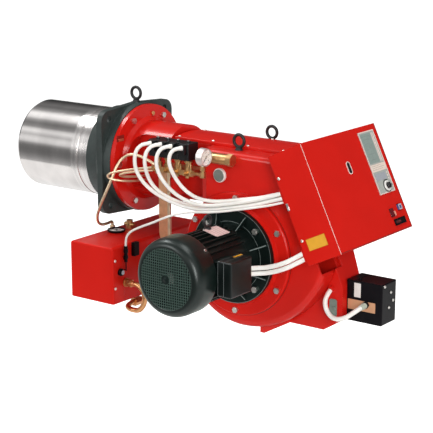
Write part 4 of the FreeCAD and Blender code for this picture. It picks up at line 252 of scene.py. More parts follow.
def add_piece(name, form, finish, body="burner", replaces=None, smooth=40.0, merge=True):
    """A piece from a form, its doubles merged and its faces turned out, shaded smooth below an angle."""
    mesh = bpy.data.meshes.new(name)
    mesh.from_pydata((form[0].reshape(-1, 3) / MM).tolist(), [], form[1].tolist())
    if merge:
        welded = bmesh.new()
        welded.from_mesh(mesh)
        bmesh.ops.remove_doubles(welded, verts=welded.verts, dist=MERGE_WITHIN)
        bmesh.ops.dissolve_degenerate(welded, edges=welded.edges, dist=SHORTEST_EDGE)
        bmesh.ops.recalc_face_normals(welded, faces=welded.faces)
        welded.to_mesh(mesh)
        welded.free()
    mesh.polygons.foreach_set("use_smooth", np.ones(len(mesh.polygons), bool))
    mesh.set_sharp_from_angle(angle=math.radians(smooth))
    return put(name, mesh, finish, body, replaces)


def add_numbers(name, numbers, places, height, right, up, finish):
    """Plain figures of a scale, set as flat type and turned into one mesh that stands at its places."""
    points, faces, count = [], [], 0
    for number, place in zip(numbers, places):
        curve = bpy.data.curves.new(name, "FONT")
        curve.body = number
        curve.size = height / MM * TYPE_SCALE
        curve.align_x, curve.align_y = "CENTER", "CENTER"
        curve.resolution_u = 2
        holder = bpy.data.objects.new(name + "_type", curve)
        mesh = bpy.data.meshes.new_from_object(holder)
        flat = np.empty(len(mesh.vertices) * 3)
        mesh.vertices.foreach_get("co", flat)
        flat = flat.reshape(-1, 3)
        points.append(np.asarray(place, float) / MM + flat[:, :1] * right + flat[:, 1:2] * up)
        faces += [[corner + count for corner in face.vertices] for face in mesh.polygons]
        count += len(flat)
        bpy.data.objects.remove(holder)
        bpy.data.curves.remove(curve)
        bpy.data.meshes.remove(mesh)
    mesh = bpy.data.meshes.new(name)
    mesh.from_pydata(np.concatenate(points).tolist(), [], faces)
    return put(name, mesh, finish)


def on_face(across, down, out=0.0):
    """Point on the cabinet's wide face: across and down from its corner, and out of it."""
    return FACE_CORNER + AXIS_Y * across - FACE_UP * down + FACE_OUT * out


def on_side(behind, down, out=0.0):
    """Point on the cabinet's narrow side: behind its wide face and down from its top, and out of it."""
    return FACE_CORNER - FACE_OUT * behind - FACE_UP * down - AXIS_Y * out


def round_motor(degrees):
    """Way out from the motor's axis at an angle from +X."""
    angle = math.radians(degrees)
    return np.array([math.cos(angle), 0, math.sin(angle)])


def first_way(route):
    """Way in which a cable's route leaves its first point."""
    step = np.subtract(route[1], route[0])
    return step / np.linalg.norm(step)


# Finishes.

def add_node(tree, kind, inputs=(), **settings):
    """Adds a node, sets it, and gives its inputs values or links them to outputs."""
    node = tree.nodes.new(kind)
    for name, value in settings.items():
        setattr(node, name, value)
    for socket, value in dict(inputs).items():
        if isinstance(value, bpy.types.NodeSocket):
            tree.links.new(value, node.inputs[socket])
        else:
            node.inputs[socket].default_value = value
    return node


def start_material(name):
    """An empty material, its tree, and the object's own coordinates in metres."""
    material = bpy.data.materials.new(name)
    material.use_nodes = True
    tree = material.node_tree
    tree.nodes.clear()
    return material, tree, add_node(tree, "ShaderNodeTexCoord").outputs["Object"]


def end_material(tree, inputs):
    """Closes a material's tree with its shader and its output."""
    shader = add_node(tree, "ShaderNodeBsdfPrincipled", inputs)
    add_node(tree, "ShaderNodeOutputMaterial", {"Surface": shader.outputs[0]})


# The noise's low and high values, between which a colour or a roughness goes from one end to the other.
NOISE_ENDS = (0.3, 0.7)


def speckle(tree, place, millimetres, detail=2.0, stretch=(1, 1, 1)):
    """Noise whose grains are about that many millimetres across, drawn out where the stretch is small."""
    mapped = add_node(tree, "ShaderNodeMapping", {"Vector": place, "Scale": stretch}).outputs[0]
    return add_node(tree, "ShaderNodeTexNoise", {
        "Vector": mapped, "Scale": MM / millimetres, "Detail": detail, "Roughness": 0.55}).outputs["Fac"]


def shaded(tree, factor, base, darkest, lightest):
    """A colour made darker and lighter by the factor, from one share of it to another."""
    ramp = add_node(tree, "ShaderNodeValToRGB", {"Fac": factor})
    for stop, position, share in zip(ramp.color_ramp.elements, NOISE_ENDS, (darkest, lightest)):
        stop.position = position
        stop.color = (*(min(1, part * share) for part in base), 1)
    return ramp.outputs["Color"]


def surface(name, base, inputs, mottle=None, shine=None, grains=(), edge=0.0):
    """A material whose colour, roughness and height follow noises of a real size.

    Mottle is the grain in millimetres, its detail, and the darkest and lightest share of the colour. Shine is
    the grain, its detail, and the lowest and highest roughness. Each of the grains is a size, a detail and a
    height in millimetres, laid over edges that are rounded as paint and tumbling leave them. Inputs are the
    shader's own values.
    """
    material, tree, place = start_material(name)
    inputs = dict(inputs)
    if mottle:
        inputs["Base Color"] = shaded(tree, speckle(tree, place, *mottle[:2]), base, *mottle[2:])
    if shine:
        inputs["Roughness"] = add_node(tree, "ShaderNodeMapRange", {
            "Value": speckle(tree, place, *shine[:2]), "From Min": NOISE_ENDS[0], "From Max": NOISE_ENDS[1],
            "To Min": shine[2], "To Max": shine[3]}).outputs[0]
    under = {}
    if edge:
        under["Normal"] = add_node(tree, "ShaderNodeBevel", {"Radius": edge / MM}, samples=4).outputs[0]
    for millimetres, detail, height in grains:
        swell = speckle(tree, place, millimetres, detail)
        under["Normal"] = add_node(tree, "ShaderNodeBump", {
            "Height": swell, "Strength": 1.0, "Distance": height / MM, **under}).outputs[0]
    end_material(tree, {**inputs, **under})
    return material


def gloss_enamel(name, base, edge, roughness, coat, coat_roughness, specular, tint="#FFFFFF", casting=0.0):
    """Stoved alkyd enamel: a wet film over a faint orange peel, and on castings a slow sandy swell."""
    tint = (*to_linear(tint), 1)
    film = {"IOR": 1.45, "Specular IOR Level": specular, "Specular Tint": tint, "Coat Weight": coat,
            "Coat Roughness": coat_roughness, "Coat Tint": tint}
    swell = ((16, 3, casting),) if casting else ()
    return surface(name, base, film, (90, 1, 0.97, 1.03), (60, 1, roughness * 0.94, roughness * 1.06),
                   (*swell, (3, 1, 0.004)), edge)


def satin_cast_enamel(name, base):
    """Satin enamel on sand-cast iron: the sand's grain shows through, and some spots are a little lighter."""
    return surface(name, base, {"Specular IOR Level": 0.45}, (28, 3, 0.82, 1.22), (2.5, 4, 0.42, 0.6),
                   ((2.5, 4, 0.16),), 2.0)


def plated_metal(name, base, roughness, grain_mm, height, edge=0.5):
    """Bright plated or machined metal: nearly mirror smooth, with fine tool marks and slight tarnish."""
    return surface(name, base, {"Metallic": 1.0}, (18, 3, 0.86, 1.06),
                   (grain_mm, 3, roughness * 0.75, roughness * 1.3), ((grain_mm, 3, height),), edge)


def moulded_plastic(name, base, roughness, grain_mm=1.2, height=0.02, edge=0.6, coat=0.0, specular=0.5):
    """Moulded plastic: even colour with the mould's fine spark grain."""
    return surface(name, base, {"IOR": 1.52, "Specular IOR Level": specular, "Coat Weight": coat},
                   (22, 2, 0.93, 1.07), (grain_mm, 2, roughness * 0.88, roughness * 1.12),
                   ((grain_mm, 2, height),), edge)


def cable_sheath(name, base):
    """Extruded soft PVC: warm white, silky, with faint waviness along it and a little handling dirt."""
    return surface(name, base, {"Subsurface Weight": 0.08, "Subsurface Radius": (0.004, 0.003, 0.002)},
                   (45, 4, 0.93, 1.03), (45, 4, 0.36, 0.5), ((14, 1, 0.12),))


def printed_film(name, base, roughness, darkest=0.96):
    """Printed polyester film or painted thin sheet: flat colour, slightly mottled and faintly pebbled."""
    return surface(name, base, {}, (12, 2, darkest, 1.02), (4, 2, roughness * 0.9, roughness * 1.1),
                   ((2, 2, 0.01),))


def flat_glass(name, base):
    """Float glass over a dial: clear, hard and glossy, with a trace of dust."""
    glass = {"Base Color": (*base, 1), "IOR": 1.5, "Transmission Weight": 1.0, "Alpha": 0.25}
    return surface(name, base, glass, shine=(6, 3, 0.02, 0.08))


# The tube is turned fine up to its seam and coarse behind it: the seam's start and end along X, in metres.
SEAM = (-0.128, -0.118)


def turned_steel(name, base):
    """Low-carbon steel turned on a lathe: rings in bands, bright where the tool left it smooth."""
    material, tree, place = start_material(name)
    along = add_node(tree, "ShaderNodeSeparateXYZ", {0: place}).outputs["X"]
    coarse, roughness, depth = (
        add_node(tree, "ShaderNodeMapRange", {"Value": along, "From Min": SEAM[0], "From Max": SEAM[1],
                                              "To Min": low, "To Max": high}).outputs[0]
        for low, high in ((0, 1), (0.12, 0.24), (0.05, 1)))
    bands = add_node(tree, "ShaderNodeMix", {"Factor": coarse, "A": speckle(tree, place, 70, 2, (1, 1, 0.5)),
                                             "B": speckle(tree, place, 9, 2, (1, 0.01, 0.01))})
    level = add_node(tree, "ShaderNodeMath", {0: speckle(tree, place, 4.5, 4, (1, 0.002, 0.002)), 1: 0.5},
                     operation="SUBTRACT").outputs[0]
    height = add_node(tree, "ShaderNodeMath", {0: level, 1: depth}, operation="MULTIPLY").outputs[0]
    rings = add_node(tree, "ShaderNodeBump", {"Height": height, "Strength": 1.0, "Distance": 0.2 / MM})
    end_material(tree, {
        "Base Color": shaded(tree, bands.outputs["Result"], base, 0.86, 1.08), "Metallic": 1.0,
        "Roughness": roughness, "Normal": rings.outputs[0]})
    return material


# Each row of these tables is a finish, its material's name, its colour as a hex code or one of the burner's
# colours, and the values that the function of its kind takes.
ENAMELS = (
    ("sheet_enamel", "gloss_enamel_on_sheet_steel", "enamel", 2.2, 0.32, 0.05, 0.12, 0.12),
    ("cast_enamel", "gloss_enamel_on_cast_aluminium", "enamel", 3.0, 0.3, 0.25, 0.12, 0.15, "#FFFFFF", 0.1),
    ("motor_enamel", "gloss_enamel_on_motor", "motor_paint", 1.0, 0.36, 0.1, 0.25, 0.25, "#D2FFF2"),
    ("cowl_enamel", "gloss_enamel_on_motor_cowl", "motor_paint", 1.0, 0.3, 0.8, 0.34, 0.04, "#C4FFEE"),
    ("guard_enamel", "gloss_enamel_on_wire_guard", "#3B5149", 0.4, 0.36, 0.4, 0.3, 0.5),
    ("box_enamel", "gloss_enamel_on_terminal_box", "motor_paint", 1.5, 0.3, 0.3, 0.15, 0.25),
    # A painted highlight: light grey-green enamel laid as thin lines on the motor's dark flange and ribs.
    ("worn_edge", "worn_enamel_edge", "#77827F", 0.2, 0.32, 0.3, 0.12, 0.5),
)
CASTINGS = (
    ("iron_enamel", "satin_enamel_on_cast_iron", "iron_paint"),
    ("eye_enamel", "dipped_black_on_forged_steel", "#1B1A1B"),
)
METALS = (
    ("zinc", "bright_zinc_on_steel", "zinc", 0.28, 3.0, 0.008),
    ("bolt_zinc", "bright_zinc_on_bolts", "#DCD8D2", 0.36, 2.0, 0.03, 0.8),
    ("bright_nut", "nickelled_steel_nut", "#F0ECEA", 0.3, 2.0, 0.01),
    ("galvanised", "hot_dip_galvanised_sheet", "#A2A5A3", 0.42, 9.0, 0.02),
    ("aluminium", "die_cast_aluminium", "#B9BBBB", 0.4, 2.0, 0.06),
    ("brass", "machined_brass", "brass", 0.36, 6.0, 0.004),
    ("copper", "drawn_copper_tube", "copper", 0.34, 9.0, 0.004),
    ("thin_pipe", "drawn_brass_tube", "pipe", 0.42, 9.0, 0.004),
    ("strap", "yellow_passivated_steel_strip", "strap", 0.45, 7.0, 0.015),
    ("chrome", "satin_chromium_on_brass", "#E9E1DE", 0.5, 3.0, 0.004),
)
PLASTICS = (
    ("black_moulding", "glass_filled_nylon", "#0D0B0F", 0.34, 1.2, 0.02, 1.5, 0.0, 0.12),
    ("coil_moulding", "thermoset_coil_moulding", "coil", 0.34, 1.6, 0.02, 1.0, 0.0, 0.35),
    ("white_moulding", "white_abs", "#E8E6E0", 0.3),
    ("porcelain", "glazed_steatite", "#E9E4DA", 0.15, 3.0, 0.01, 0.5, 0.6),
    ("knob_black", "black_phenolic_knob", "#0E0D0F", 0.28, 2.0, 0.006, 0.5, 0.3),
    ("grey_rim", "light_grey_button_rim", "#AFB3BC", 0.35),
    ("rocker_red", "dark_red_rocker", "#66141A", 0.25, 2.0, 0.004, 0.6, 0.5),
    ("lamp_lens", "pink_neon_lamp_lens", "#F2A48E", 0.15, 3.0, 0.004, 0.5, 0.8),
    ("counter_glass", "dark_red_counter_window", "#4A1216", 0.3, 3.0, 0.003, 0.3, 0.8),
    ("gasket", "grey_rubber_gasket", "#7D8484", 0.5, 2.0, 0.01, 0.3),
    ("sleeve_grey", "grey_green_rubber_sleeve", "#A9AF9F", 0.5, 2.0, 0.01, 0.3),
    ("blue_button", "blue_button_lens", "#46538A", 0.25),
)
FILMS = (
    ("panel", "grey_lacquered_aluminium_plate", "panel", 0.4),
    ("index_grey", "grey_green_index_plate", "#7A8A80", 0.4, 0.85),
    ("yellow_label", "yellow_polyester_film", "label", 0.38),
    ("label_edge", "dark_yellow_label_print", "#B7771A", 0.4),
    ("white_label", "white_polyester_film", "#E6E3DD", 0.4),
    ("faint_print", "faint_grey_print", "#C9C4BE", 0.5),
    ("silver_label", "brushed_aluminium_label", "#DDBDB8", 0.34),
    ("rating_print", "rose_brown_plate_print", "#8E5F60", 0.4),
    ("tan_plate", "tan_lacquered_plate", "#C8946F", 0.4),
    ("dial_white", "white_lacquered_dial", "#FDFAF6", 0.4),
    ("dial_ink", "black_dial_print", "#1A1A1C", 0.5),
    ("sight_film", "sooted_sight_glass", "#7D827B", 0.3, 0.8),
    ("grey_print", "grey_panel_print", "#7E857F", 0.5),
    ("black_print", "black_panel_print", "#151416", 0.4),
    ("counter_print", "faint_counter_figures", "#94504E", 0.5),
    ("window_film", "grey_green_window_film", "#8C9A94", 0.3),
    ("lilac_film", "lilac_grey_window_film", "#A4A7AD", 0.3),
    ("band_film", "cream_caption_film", "#E4D2C4", 0.4),
    ("plate_edge", "bare_plate_edge", "#E6D2C9", 0.4),
    # This row is painted shade: a dark red laid as lines along the cabinet's edges, round the motor plate and
    # in the flange's recess.
    ("shaded_edge", "shaded_sheet_edge", "#86170F", 0.5),
    # A painted highlight: a pale pink strip laid along the cabinet's fold.
    ("bare_fold", "primer_on_worn_fold", "#F4DCD4", 0.35),
)
KINDS = (
    (gloss_enamel, ENAMELS), (satin_cast_enamel, CASTINGS), (plated_metal, METALS),
    (moulded_plastic, PLASTICS), (printed_film, FILMS),
    (turned_steel, (("turned_steel", "turned_mild_steel", "steel"),)),
    (cable_sheath, (("sheath", "white_pvc_sheath", "sheath"),)),
    (flat_glass, (("glass", "float_glass", "#F4F7F5"),)),
)
FINISHES = {}

NODE_FINISHES = {
    "sheet_enamel": ("cabinet_cover", "cabinet_base", "preheater_tank", "preheater_cover", "top_cover",
                     "motor_plate"),
    "cast_enamel": ("burner_body", "intake_box"),
    "motor_enamel": ("fan_cowl", "motor_frame", "motor_flange"),
    "box_enamel": ("terminal_box", "terminal_lid"),
    "iron_enamel": ("mounting_plate", "tube_collar"),
    "eye_enamel": ("lifting_eyes",),
    "turned_steel": ("blast_tube",),
    "zinc": ("motor_shaft", "diffuser_disc"),
    "bolt_zinc": ("hex_bolts", "small_screws"),
    "galvanised": ("fan_impeller", "air_damper"),
    "aluminium": ("oil_pump",),
    "brass": ("nozzle_lance", "valve_manifold", "oil_cylinder", "relief_valve"),
    "copper": ("copper_pipe",),
    "thin_pipe": ("nozzle_pipes", "preheater_pipe", "return_pipe"),
    "strap": ("support_strap",),
    "chrome": ("pressure_gauge",),
    "black_moulding": ("cooling_fan", "servomotor", "heater_sensor", "gauge_pointer", "thermometer_pointer",
                       "selector_knob", "hour_counter", "thermometer", "thermostat_knob"),
    "rocker_red": ("power_switch",),
    "index_grey": ("index_plate",),
    "coil_moulding": ("solenoid_coils",),
    "white_moulding": ("sight_glass_rim",),
    "blue_button": ("reset_button",),
    "porcelain": ("ignition_electrodes",),
    "panel": ("instrument_plate",),
    "glass": ("gauge_lens",),
    "sight_film": ("sight_glass",),
}


class BURNER_OT_finishes(bpy.types.Operator):
    """Make the finishes, and give each solid of the burner that of the real piece"""
    bl_idname = "burner.finishes"
    bl_label = "Finish the solids"

    def execute(self, context):
        colours = context.scene.burner_colours
        for make, rows in KINDS:
            for finish, name, code, *values in rows:
                base = to_linear(code) if code.startswith("#") else getattr(colours, code)
                FINISHES[finish] = make(name, base, *values)
        for finish, names in NODE_FINISHES.items():
            for name in names:
                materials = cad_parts[name].data.materials
                materials.clear()
                materials.append(FINISHES[finish])
        return {"FINISHED"}


# Cables.

# Each cable's diameter among the burner's sizes, its length between its two glands, and its control points.
CABLES = {
    "coil_cable_1": ("coil_cable", 582, (
        (195, -160, 80), (182.6, -172.6, 80), (171.9, -183.4, 71), (165.7, -189.7, 56), (164, -191, 36),
        (165.5, -189.5, 15), (173, -186, -5), (189, -182, -25), (213, -178, -43), (245, -174, -57),
        (283, -171, -68), (324, -168, -74), (366, -166, -74.5), (410, -166, -67), (455, -166, -56.5),
        (500, -165, -46), (541, -162, -34.5), (577, -159, -22), (611.6, -157, -11))),
    "coil_cable_2": ("coil_cable", 563, (
        (229, -160, 81), (217.3, -173.3, 81), (207.2, -184.8, 72), (201.4, -191.4, 57), (199, -192.5, 37),
        (198.5, -188, 16), (200.5, -181, -5), (208, -174, -25), (223, -167, -43), (248, -162, -56),
        (282, -158, -66), (322, -156, -70.5), (365, -155, -69), (408, -155, -61.5), (451, -155, -52),
        (494, -155, -43), (535, -152, -34), (573, -148, -22), (611.6, -146.3, -11))),
    "coil_cable_3": ("coil_cable", 498, (
        (263, -160, 80), (252.4, -174.2, 80), (243.6, -186, 71), (239.2, -192, 56), (238.5, -193, 36),
        (241.5, -190, 16), (250, -185, -4), (265, -180, -23), (285, -175, -40), (312, -171, -53),
        (346, -168, -61), (388, -166, -60), (430, -166, -51.5), (472, -166, -41), (511, -164, -31),
        (546, -161, -21), (577, -158, -10.5), (606.3, -157, 0))),
    "coil_cable_4": ("coil_cable", 449, (
        (297, -160, 79), (288, -175, 79), (281.5, -186.5, 70), (279, -191.5, 54), (281, -190, 34),
        (286, -184, 15), (294, -177, -4), (306, -170, -22), (324, -164, -37), (350, -159, -48),
        (386, -156, -50.5), (427, -155, -45), (468, -155, -36), (508, -154, -27.5), (543, -151, -20),
        (573, -148, -10.5), (606.3, -146.3, 0))),
    "sensor_cable": ("sensor_cable", 525, (
        (149, -214, -194), (149, -214, -178), (155, -214, -163), (169, -214, -150), (196, -213, -136),
        (236, -211, -119), (276, -208, -99.5), (315, -203, -84), (354, -195, -75.5), (396, -186, -72.5),
        (440, -181, -65), (486, -179, -54), (530, -176, -43.5), (566, -168, -35), (594, -158, -27.5),
        (615.9, -151, -20))),
    "motor_cable_1": ("motor_cable", 174, (
        (553, -242, -185), (553.5, -221, -186.5), (563, -201, -188), (579, -189, -187.5), (604, -179.5, -181),
        (630, -170.5, -170), (653, -162, -155.5), (674.2, -157, -141.6))),
    "motor_cable_2": ("motor_cable", 179, (
        (553, -242, -199), (553.5, -221, -200.5), (563, -201, -202), (579, -189, -201.5), (605, -179.5, -195),
        (632, -170.5, -184), (657, -162, -169), (680.3, -157, -154.3))),
    "servo_conduit": ("conduit", 181, (
        (787, -47, -283), (785, -65, -286), (776, -81, -295), (759, -89, -309), (738, -92, -318),
        (717, -91, -316), (702, -89, -303), (695, -88, -285), (694, -81, -267), (697, -66, -254))),
}


def add_cable(name, diameter, route):
    """Round cable along a smooth line through its control points, in place of its plain solid."""
    curve = bpy.data.curves.new(name, "CURVE")
    curve.dimensions = "3D"
    line = curve.splines.new("NURBS")
    line.points.add(len(route) - 1)
    line.points.foreach_set("co", np.c_[np.array(route) / MM, np.ones(len(route))].ravel())
    line.order_u = 3
    line.use_endpoint_u = True
    line.resolution_u = 8
    line.use_smooth = True
    curve.bevel_depth = diameter / 2
    curve.bevel_resolution = 5
    curve.use_fill_caps = True
    cable = put(name + "_sheath", curve, "sheath", replaces=name)


class BURNER_OT_cables(bpy.types.Operator):
    """Lay the cables of the coils, the sensor and the motor, and the servomotor's conduit"""
    bl_idname = "burner.cables"
    bl_label = "Lay the cables"

    def execute(self, context):
        for name, (kind, length, route) in CABLES.items():
            add_cable(name, getattr(context.scene.burner_sizes, kind), route)
        return {"FINISHED"}


# Dials.

# Each dial: its radius among the burner's sizes, its middle, the ways right and up, its scale's first angle
# and sweep in degrees, the number of fine steps, the figures' height as a share of the radius, and the
# figures.
DIALS = (
    ("gauge", (384.02, -172, 67), AXIS_Y, AXIS_Z, 225, -270, 40, 0.17, ("0", "10", "20", "30", "40")),
    ("thermometer", (32, -114, -189.98), AXIS_X, AXIS_Y, 180, -180, 16, 0.13,
     ("0", "40", "80", "120", "160")),
)
DIAL_THICK = 0.2
THERMOSTAT_CAP = ((0, 0), (0, 6), (0.8, 5.6), (1.2, 4.6), (1.2, 0))


class BURNER_OT_dials(bpy.types.Operator):
    """Print the dials of the pressure gauge and the thermometer, and cap the thermostat's knob"""
    bl_idname = "burner.dials"
    bl_label = "Print the dials"

    def execute(self, context):
        for name, middle, right, up, start, sweep, steps, figure, numbers in DIALS:
            radius = getattr(context.scene.burner_sizes, name) * MM
            out = np.cross(right, up)
            disc = ((0, 0), (0, radius), (DIAL_THICK, radius), (DIAL_THICK, 0))
            add_piece(name + "_dial", turned(disc, middle, out), "dial_white")
            top = middle + out * (DIAL_THICK + 0.01)
            fine = start + sweep * np.arange(steps + 1) / steps
            coarse = start + sweep * np.arange(len(numbers)) / (len(numbers) - 1)
            scale = joined([marks(top, right, up, fine, radius * 0.86, radius * 0.93, 0.3, 0.08),
                            marks(top, right, up, coarse, radius * 0.78, radius * 0.93, 0.6, 0.1)])
            add_piece(name + "_marks", scale, "dial_ink", merge=False)
            turn = np.radians(coarse)[:, None]
            places = top + out * 0.03 + (np.cos(turn) * right + np.sin(turn) * up) * radius * 0.6
            add_numbers(name + "_numbers", numbers, places, radius * figure, right, up, "dial_ink")
        cap = turned(THERMOSTAT_CAP, (152.6, -231, -263), AXIS_X)
        add_piece("thermostat_cap", cap, "grey_rim", "thermostat")
        return {"FINISHED"}


# Solenoid coils: the middles of the four along X, and the profiles of a nut and of a cable's collar.
COIL_MIDDLES = (193.75, 227.25, 260.75, 294.25)
COIL_NUT = ((0, 0), (0, 3.3), (0.8, 3.6), (2.2, 3.6), (2.8, 3), (2.8, 0))
CABLE_COLLAR = ((-1, 0), (-1, 6.4), (2, 6.4), (2.4, 5.8), (3.6, 5.8), (4, 6.2), (5.6, 6), (6, 5.5),
                (8.5, 5.2), (8.5, 0))


class BURNER_OT_coils(bpy.types.Operator):
    """Add the bright nuts on the solenoid coils and the collars where their cables leave the plugs"""
    bl_idname = "burner.coils"
    bl_label = "Dress the coils"

    def execute(self, context):
        nut = turned(COIL_NUT, (0, -128, 91.5), AXIS_Z, 6)
        add_piece("coil_nuts", repeated(nut, [(x, 0, 0) for x in COIL_MIDDLES]), "bright_nut")
        routes = [route for kind, _, route in CABLES.values() if kind == "coil_cable"]
        collars = [turned(CABLE_COLLAR, route[0], first_way(route), 32) for route in routes]
        add_piece("cable_collars", joined(collars), "sheath")
        return {"FINISHED"}


# The cabinet's wide face. How far the instrument plate's front and the films on it stand out.
PLATE_FRONT = 1.5
FILM_FRONT = 1.85

# Plates on the wide face: name, finish, slot, from and to across, from and to down, foot, thickness, corner.
FACE_PLATES = (
    ("diagram_window", "window_film", "panel_grey", 259, 309, 21, 101, PLATE_FRONT, 0.35, 0.6),
    ("lamp_window", "lilac_film", "panel_grey", 262, 312, 129, 148, PLATE_FRONT, 0.35, 0.6),
    ("caption_band", "band_film", "light_plastic", 257, 327, 104.5, 124, PLATE_FRONT, 0.35, 0.6),
    ("lock_slot", "black_print", "black_plastic", 156, 170, 78, 108, 0, 0.8, 5.9),
    ("lock_handle", "black_print", "black_plastic", 161, 165, 81, 105, 0.8, 1.6, 1.9),
    ("counter_glass", "counter_glass", "clear_glass", 278, 303, 258.3, 266.7, 1.5, 0.5, 0.4),
    ("counter_key", "knob_black", "black_plastic", 305, 320, 258.3, 266.7, 1.5, 0.9, 0.6),
)

# Rims on it: name, finish, slot, body, the middle's across, down and foot, and the width, height, corner,
# wall and thickness.
FACE_RIMS = (
    ("plate_rim", "plate_edge", "light_plastic", "burner", 291.5, 99.5, PLATE_FRONT, 75, 169, 1.2, 2.6, 0.4),
    ("lock_rim", "plate_edge", "chrome", "burner", 163, 93, 0, 17, 33.4, 8.4, 1.8, 1.8),
    ("reset_rim", "grey_rim", "light_plastic", "reset", 318, 228, 5, 14.6, 14.6, 1.4, 3.2, 0.4),
    ("switch_rim", "rocker_red", "black_plastic", "burner", 277, 236, 0, 19, 23, 1.5, 2, 1.6),
)

# The plain diagram on the instrument plate: across and down of both ends of each line.
DIAGRAM = (
    (263, 28, 304, 28), (263, 28, 263, 40), (304, 28, 304, 52), (270, 36, 296, 36), (283, 36, 283, 60),
    (270, 48, 283, 48), (270, 48, 270, 64), (296, 52, 304, 52), (296, 52, 296, 72), (266, 64, 278, 64),
    (283, 60, 292, 60), (266, 76, 300, 76), (266, 76, 266, 88), (283, 76, 283, 92), (300, 76, 300, 86),
    (272, 92, 296, 92))

# Lines on the wide face: name, finish, slot, foot and thickness, and each bar's two ends and its width.
FACE_LINES = (
    ("diagram_lines", "grey_print", "panel_grey", FILM_FRONT, 0.12, [(*ends, 0.7) for ends in DIAGRAM]),
    ("caption_rules", "grey_print", "panel_grey", FILM_FRONT, 0.1,
     [(260, 108.5, 304, 108.5, 0.6), (260, 113.5, 318, 113.5, 0.6), (260, 118.5, 310, 118.5, 0.6)]),
    ("plate_strips", "plate_edge", "light_plastic", PLATE_FRONT, 0.35,
     [(313.5, 22, 313.5, 101, 2.2), (319.5, 22, 319.5, 101, 3.4)]
     + [(320, down, 320, down + 5, 4) for down in (130, 138, 146)]),
    # Painted shade: dark red lines along the wide face's far and lower edges.
    ("cabinet_edges", "shaded_edge", "red_paint", 0, 0.3,
     [(345.6, 0.8, 345.6, 286.2, 3), (1.2, 285.5, 344.1, 285.5, 2)]),
    ("selector_mark", "black_print", "black_plastic", PLATE_FRONT, 0.3, [(318.5, 166, 327, 166, 2.4)]),
)

# The selector's place on the face, and the profiles of its ring, skirt and hub.
SELECTOR = (300, 166)
SELECTOR_RING = ((0, 0), (0, 17.2), (0.6, 17), (0.6, 0))
SELECTOR_SKIRT = ((0.7, 0), (0.7, 14.2), (2.6, 14), (3.2, 13.4), (3.2, 0))
SELECTOR_HUB = ((3.2, 0), (3.2, 8.8), (7.5, 8.2), (8.4, 7.4), (8.8, 0))

# The hour counter's figures: how many, the first one's place, their pitch and their height.
COUNTER_FIGURES = 5
COUNTER_PLACE = (281, 262.5, 2.03)
COUNTER_PITCH = 4.6
COUNTER_HEIGHT = 4.2


class BURNER_OT_controls(bpy.types.Operator):
    """Dress the cabinet's wide face: instrument plate, selector, lock, buttons, hour counter and painted shade
    along its far and lower edges
    """
    bl_idname = "burner.controls"
    bl_label = "Dress the cabinet's controls"

    def execute(self, context):
        for name, finish, slot, left, right, top, low, foot, thick, corner in FACE_PLATES:
            middle = on_face((left + right) / 2, (top + low) / 2, foot)
            form = plate(right - left, low - top, corner, thick, middle, AXIS_Y, FACE_UP)
            add_piece(name, form, finish)
        for name, finish, slot, body, across, down, foot, *sizes in FACE_RIMS:
            rim = frame_ring(*sizes, on_face(across, down, foot), AXIS_Y, FACE_UP)
            add_piece(name, rim, finish, body)
        for name, finish, slot, foot, thick, rows in FACE_LINES:
            bars = [bar(on_face(a, b, foot), on_face(c, d, foot), width, thick, FACE_OUT)
                    for a, b, c, d, width in rows]
            add_piece(name, joined(bars), finish)
        place = on_face(*SELECTOR, PLATE_FRONT)
        add_piece("selector_ring", turned(SELECTOR_RING, place, FACE_OUT), "black_print")
        grip = plate(3.8, 15, 1.4, 1.8, on_face(*SELECTOR, 10.1), AXIS_Y, FACE_UP, 0.3)
        hub = joined([turned(SELECTOR_HUB, place, FACE_OUT, 64), grip])
        add_piece("selector_hub", hub, "knob_black", "selector", "selector_knob")
        skirt = turned(SELECTOR_SKIRT, place, FACE_OUT, 64)
        add_piece("selector_skirt", skirt, "white_moulding", "selector")
        lamp = plate(6, 13, 2.8, 2.2, on_face(289.5, 240), AXIS_Y, FACE_UP, 0.5)
        add_piece("switch_lamp", lamp, "lamp_lens")
        first, down, out = COUNTER_PLACE
        places = [on_face(first + COUNTER_PITCH * k, down, out) for k in range(COUNTER_FIGURES)]
        add_numbers("counter_figures", "0" * COUNTER_FIGURES, places, COUNTER_HEIGHT, AXIS_Y, FACE_UP,
                    "counter_print")
        return {"FINISHED"}


# The label on the cabinet's narrow side: width, height and corner, and its middle behind and down.
SIDE_LABEL = (59, 30, 0.6)
SIDE_LABEL_PLACE = (56.5, 239)


class BURNER_OT_side(bpy.types.Operator):
    """Put the bare label, a painted highlight along the fold and the bright clip on the cabinet's narrow side
    """
    bl_idname = "burner.side"
    bl_label = "Dress the cabinet's side"

    def execute(self, context):
        thick = context.scene.burner_sizes.label_thick * MM
        middle = on_side(*SIDE_LABEL_PLACE)
        label = plate(*SIDE_LABEL, thick, middle, FACE_OUT, FACE_UP)
        add_piece("side_label", label, "yellow_label")
        edge = frame_ring(*SIDE_LABEL, 0.9, thick * 1.15, middle, FACE_OUT, FACE_UP)
        add_piece("side_label_edge", edge, "label_edge")
        # A painted highlight: a pale strip along the fold between the cabinet's wide face and its side.
        fold = plate(1.1, 286.2, 0.4, 0.3, on_side(0.95, 143.85), FACE_OUT, FACE_UP)
        add_piece("cabinet_fold", fold, "bare_fold")
        clip = joined([plate(6.5, 19, 1.2, 1.6, on_side(101, 134), FACE_OUT, FACE_UP),
                       plate(4.5, 7, 1, 2.4, on_side(101, 138.5, 1.5), FACE_OUT, FACE_UP)])
        add_piece("side_clip", clip, "bright_nut")
        return {"FINISHED"}


SIGHT_PANE = ((0, 0), (0, 16), (0.5, 15.8), (0.5, 0))
FLANGE_PLUG = ((0, 0), (0, 6.8), (3.5, 6.8), (4.5, 5.8), (4.5, 0))


